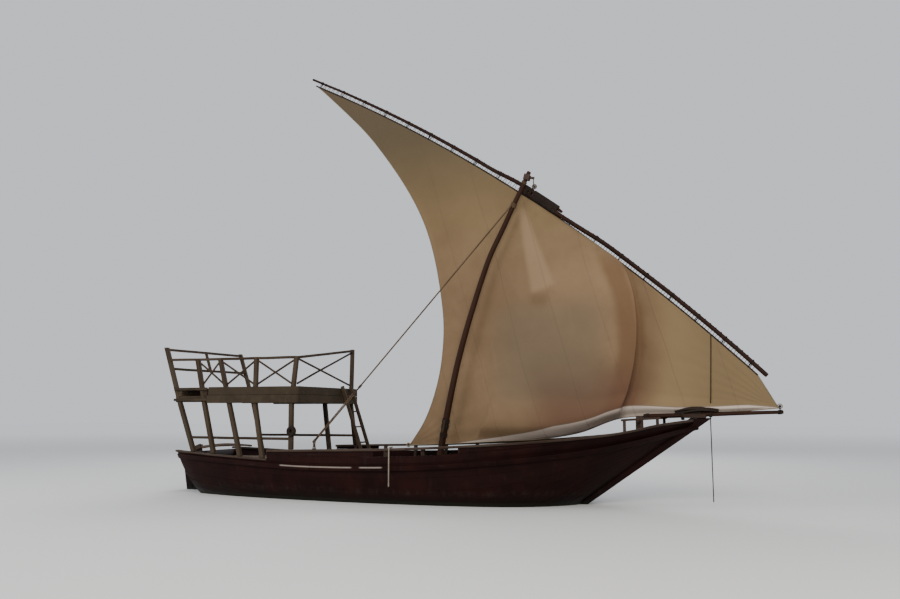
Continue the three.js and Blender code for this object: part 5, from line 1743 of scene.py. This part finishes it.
HALYARD_AT = 0.982
STAY_AT = 0.895
STAY_FOOT = Vector((-1.65, -1.3, 1.01))
STAY_TACKLE_AT = 0.8
BLOCK_SIZE = 0.036

head_centre = mast_line.at(HALYARD_AT)
halyard_foot = toggle_ball + Vector((0, -0.052, 0))
halyard_head = Vector((halyard_foot.x, halyard_foot.y, head_centre.z))
block_parts = [timber(head_centre + Vector((-0.01, side * 0.052, -0.05)),
                      head_centre + Vector((0.02, side * 0.052, 0.05)), 0.018, 0.1, cuts=1)
               for side in (STARBOARD, PORT)]
block_parts.append(timber(head_centre + Vector((0.03, 0.035, 0)), halyard_head + Vector((0.012, 0.012, 0)),
                          0.036, 0.046, ALONG_Z, cuts=1))
woodwork("masthead_cheeks", block_parts, RAIL_TIMBER, "halyard", slot="rope", bevel=0.006)
fall = Line([halyard_head + Vector((0, 0, 0.02)), halyard_head.lerp(halyard_foot, 0.5), halyard_foot])
made("halyard_rope", [
    tube(fall.cut(8), 0.0095),
    tube([halyard_foot + Vector((0, y, 0)) for y in (-0.012, 0.0, 0.02, 0.036, 0.052, 0.068, 0.08)],
         [0.008, 0.0105, 0.0105, 0.02, 0.029, 0.02, 0.008], 12),
    coil(mast_line, HALYARD_AT, 5, 0.045, 0.0065),
    coil(mast_line, 0.965, 4, 0.046, 0.006),
], STAY_ROPE)

stay_top = mast_line.at(STAY_AT) + Vector((-0.018, -0.047, 0.002))
stay_line = Line([stay_top.lerp(STAY_FOOT, k / 4) for k in range(5)])
side, up = round_axes(stay_line.run(0.5))
stay_parts = [tube(stay_line.cut(30, 0, STAY_TACKLE_AT), 0.013, 8)]
for turn in range(3):
    angle = 2 * math.pi * turn / 3
    off = side * (0.019 * math.cos(angle)) + up * (0.019 * math.sin(angle))
    tackle = enumerate(stay_line.cut(10, STAY_TACKLE_AT, 0.998))
    stay_parts.append(tube([p + off * (1 - 0.3 * k / 10) for k, p in tackle], 0.0075, 8))
stay_parts.append(coil(mast_line, STAY_AT, 5, mast_radius(STAY_AT) + 0.009, 0.008))
stay_parts.append(coil(stay_line, 0.775, 7, 0.017, 0.005))
eye_spot = Vector((STAY_FOOT.x, STAY_FOOT.y, rail_top(STAY_FOOT.x)))
lashing_middle = STAY_FOOT.lerp(eye_spot, 0.5)
lashing_line = Line([STAY_FOOT, lashing_middle, eye_spot + Vector((0, 0, 0.006))])
for turn in range(4):
    angle = math.pi * turn / 2 + 0.6
    off = Vector((math.cos(angle), math.sin(angle), 0))
    stay_parts.append(tube([STAY_FOOT + off * 0.02, lashing_middle + off * 0.012,
                            eye_spot + off * 0.026 + Vector((0, 0, 0.008))], 0.0062, 8))
stay_parts.append(coil(lashing_line, 0.55, 5, 0.018, 0.005))
stay_parts.append(ring(eye_spot + Vector((0, 0, 0.008)), 0.03, 0.0075, count=20, up=ALONG_Y))
made("stay_rope", stay_parts, STAY_ROPE, "stay")


def block_shell(centre, share):
    """A wooden block on the stay: two cheeks and a sheave between them."""
    run = stay_line.run(share)
    across, _ = round_axes(run)
    parts = []
    for off in (-1, 1):
        middle = centre + across * (BLOCK_SIZE * 0.42 * off)
        parts.append(timber(middle - run * BLOCK_SIZE * 0.95, middle + run * BLOCK_SIZE * 0.95,
                            BLOCK_SIZE * 0.3, BLOCK_SIZE * 1.25, across, cuts=1))
    half = across * BLOCK_SIZE * 0.3
    parts.append(rod(centre - half, centre + half, BLOCK_SIZE * 0.55, 16))
    return parts


woodwork("stay_blocks", block_shell(stay_line.at(STAY_TACKLE_AT), STAY_TACKLE_AT)
         + block_shell(STAY_FOOT, 0.9), RAIL_TIMBER, slot="rope", bevel=0.005)


# Gear at the bow and on the rail

COIL_RADII = (0.072, 0.062, 0.078, 0.05, 0.068, 0.034, 0.058, 0.044, 0.064)


def bundle_strand(k):
    """One of the ropes that are stowed along the bowsprit, which sways a little."""
    angle = k * 2.4
    off = Vector((0, 0.045 * math.cos(angle), 0.075 + 0.036 * math.sin(angle)))
    sway = chance.uniform(-0.01, 0.01)
    points = []
    for t in (0, 0.2, 0.4, 0.6, 0.8, 1.0):
        spot = SPRIT_HEEL.lerp(SPRIT_END, sprit_share(4.18 + 0.67 * t))
        points.append(spot + off * (0.55 + 0.45 * math.sin(math.pi * t))
                      + Vector((0, sway * math.sin(6 * t), 0.01 * math.sin(5 * t + k))))
    return tube(points, 0.017, 8)


made("stowed_bundle", [bundle_strand(k) for k in range(7)]
     + [coil(sprit_line, sprit_share(4.3), 4, 0.062, 0.006, squash=1.15)], TARRED_ROPE)
coil_spot = post_line(STARBOARD, STARBOARD_POSTS[4], 1.2) + Vector((0.05, -0.052, -0.03))
made("hung_coil", [ring(coil_spot - Vector((0, 0.008 * turn, 0)), radius, 0.01, tall=1.15)
                   for turn, radius in enumerate(COIL_RADII)], TARRED_ROPE)


# Floor and light

FLOOR_SIZE = 160
EDGE_POINTS = 70
EDGE_FORE = 2.6
UNDER_FLOOR = -0.72
SKY_COLOR = (0.86, 0.89, 0.95, 1)
SKY_STRENGTH = 0.85


def ground_finish():
    """Plain pale floor, paler far away, where it meets the background."""
    finish = Finish("ground")
    away = (finish.x * finish.x + finish.y * finish.y).math("SQRT")
    finish.feed("Base Color", finish.mix(away.step(9.0, 60.0), (0.62, 0.62, 0.6), (0.97, 0.97, 0.97)))
    finish.feed("Roughness", 0.9)
    return finish


def ground_floor():
    """The floor at the waterline, open where the hull stands in it, over one that shuts out light."""
    clear()
    bpy.ops.mesh.primitive_circle_add(vertices=2 * EDGE_POINTS, radius=1, fill_type="NOTHING")
    opening = bpy.context.active_object
    aft = stern_x(0) + 0.02
    for k, vertex in enumerate(opening.data.vertices):
        side = STARBOARD if k < EDGE_POINTS else PORT
        step = k if k < EDGE_POINTS else 2 * EDGE_POINTS - 1 - k
        x = aft + (EDGE_FORE - aft) * math.sin(math.pi / 2 * step / (EDGE_POINTS - 1))
        vertex.co = (x, side * max(half_breadth(x, 0, PLANK / 2), 0.002), 0)
    clear()
    bpy.ops.mesh.primitive_plane_add(size=FLOOR_SIZE, location=(0, 0, 0))
    floor = bpy.context.active_object
    with edit_mode():
        bpy.ops.mesh.delete(type="ONLY_FACE")
    hold(floor, opening)
    bpy.ops.object.join()
    with edit_mode():
        bpy.ops.mesh.fill(use_beauty=True)
        bpy.ops.mesh.normals_make_consistent(inside=False)
        if floor.data.polygons and floor.data.polygons[0].normal.z < 0:
            bpy.ops.mesh.flip_normals()
    clear()
    bpy.ops.mesh.primitive_plane_add(size=FLOOR_SIZE, location=(0, 0, UNDER_FLOOR))
    hold(floor, bpy.context.active_object)
    bpy.ops.object.join()
    floor.name = "ground"
    floor.data.materials.append(ground_finish().material)
    return floor


def area_light(name, place, aim, size, power, color):
    data = bpy.data.lights.new(name, "AREA")
    data.shape = "RECTANGLE"
    data.size, data.size_y = size
    data.energy = power
    data.color = color
    lamp = bpy.data.objects.new(name, data)
    bpy.context.scene.collection.objects.link(lamp)
    lamp.location = place
    lamp.rotation_euler = (Vector(aim) - Vector(place)).to_track_quat("-Z", "Y").to_euler()


ground_floor()
world = bpy.data.worlds.new("studio")
bpy.context.scene.world = world
world.use_nodes = True
sky = world.node_tree.nodes["Background"].inputs
sky["Color"].default_value = SKY_COLOR
sky["Strength"].default_value = SKY_STRENGTH
area_light("key", (9, -16, 11), (0.5, 0, 2.8), (10, 7), 2700, (1.0, 0.95, 0.88))
area_light("fill", (-13, -10, 8), (-1, 0, 2.5), (8, 8), 1000, (0.95, 0.96, 1.0))
area_light("back", (-4, 14, 11), (0.5, 0, 2.5), (10, 6), 1300, (0.97, 0.97, 1.0))
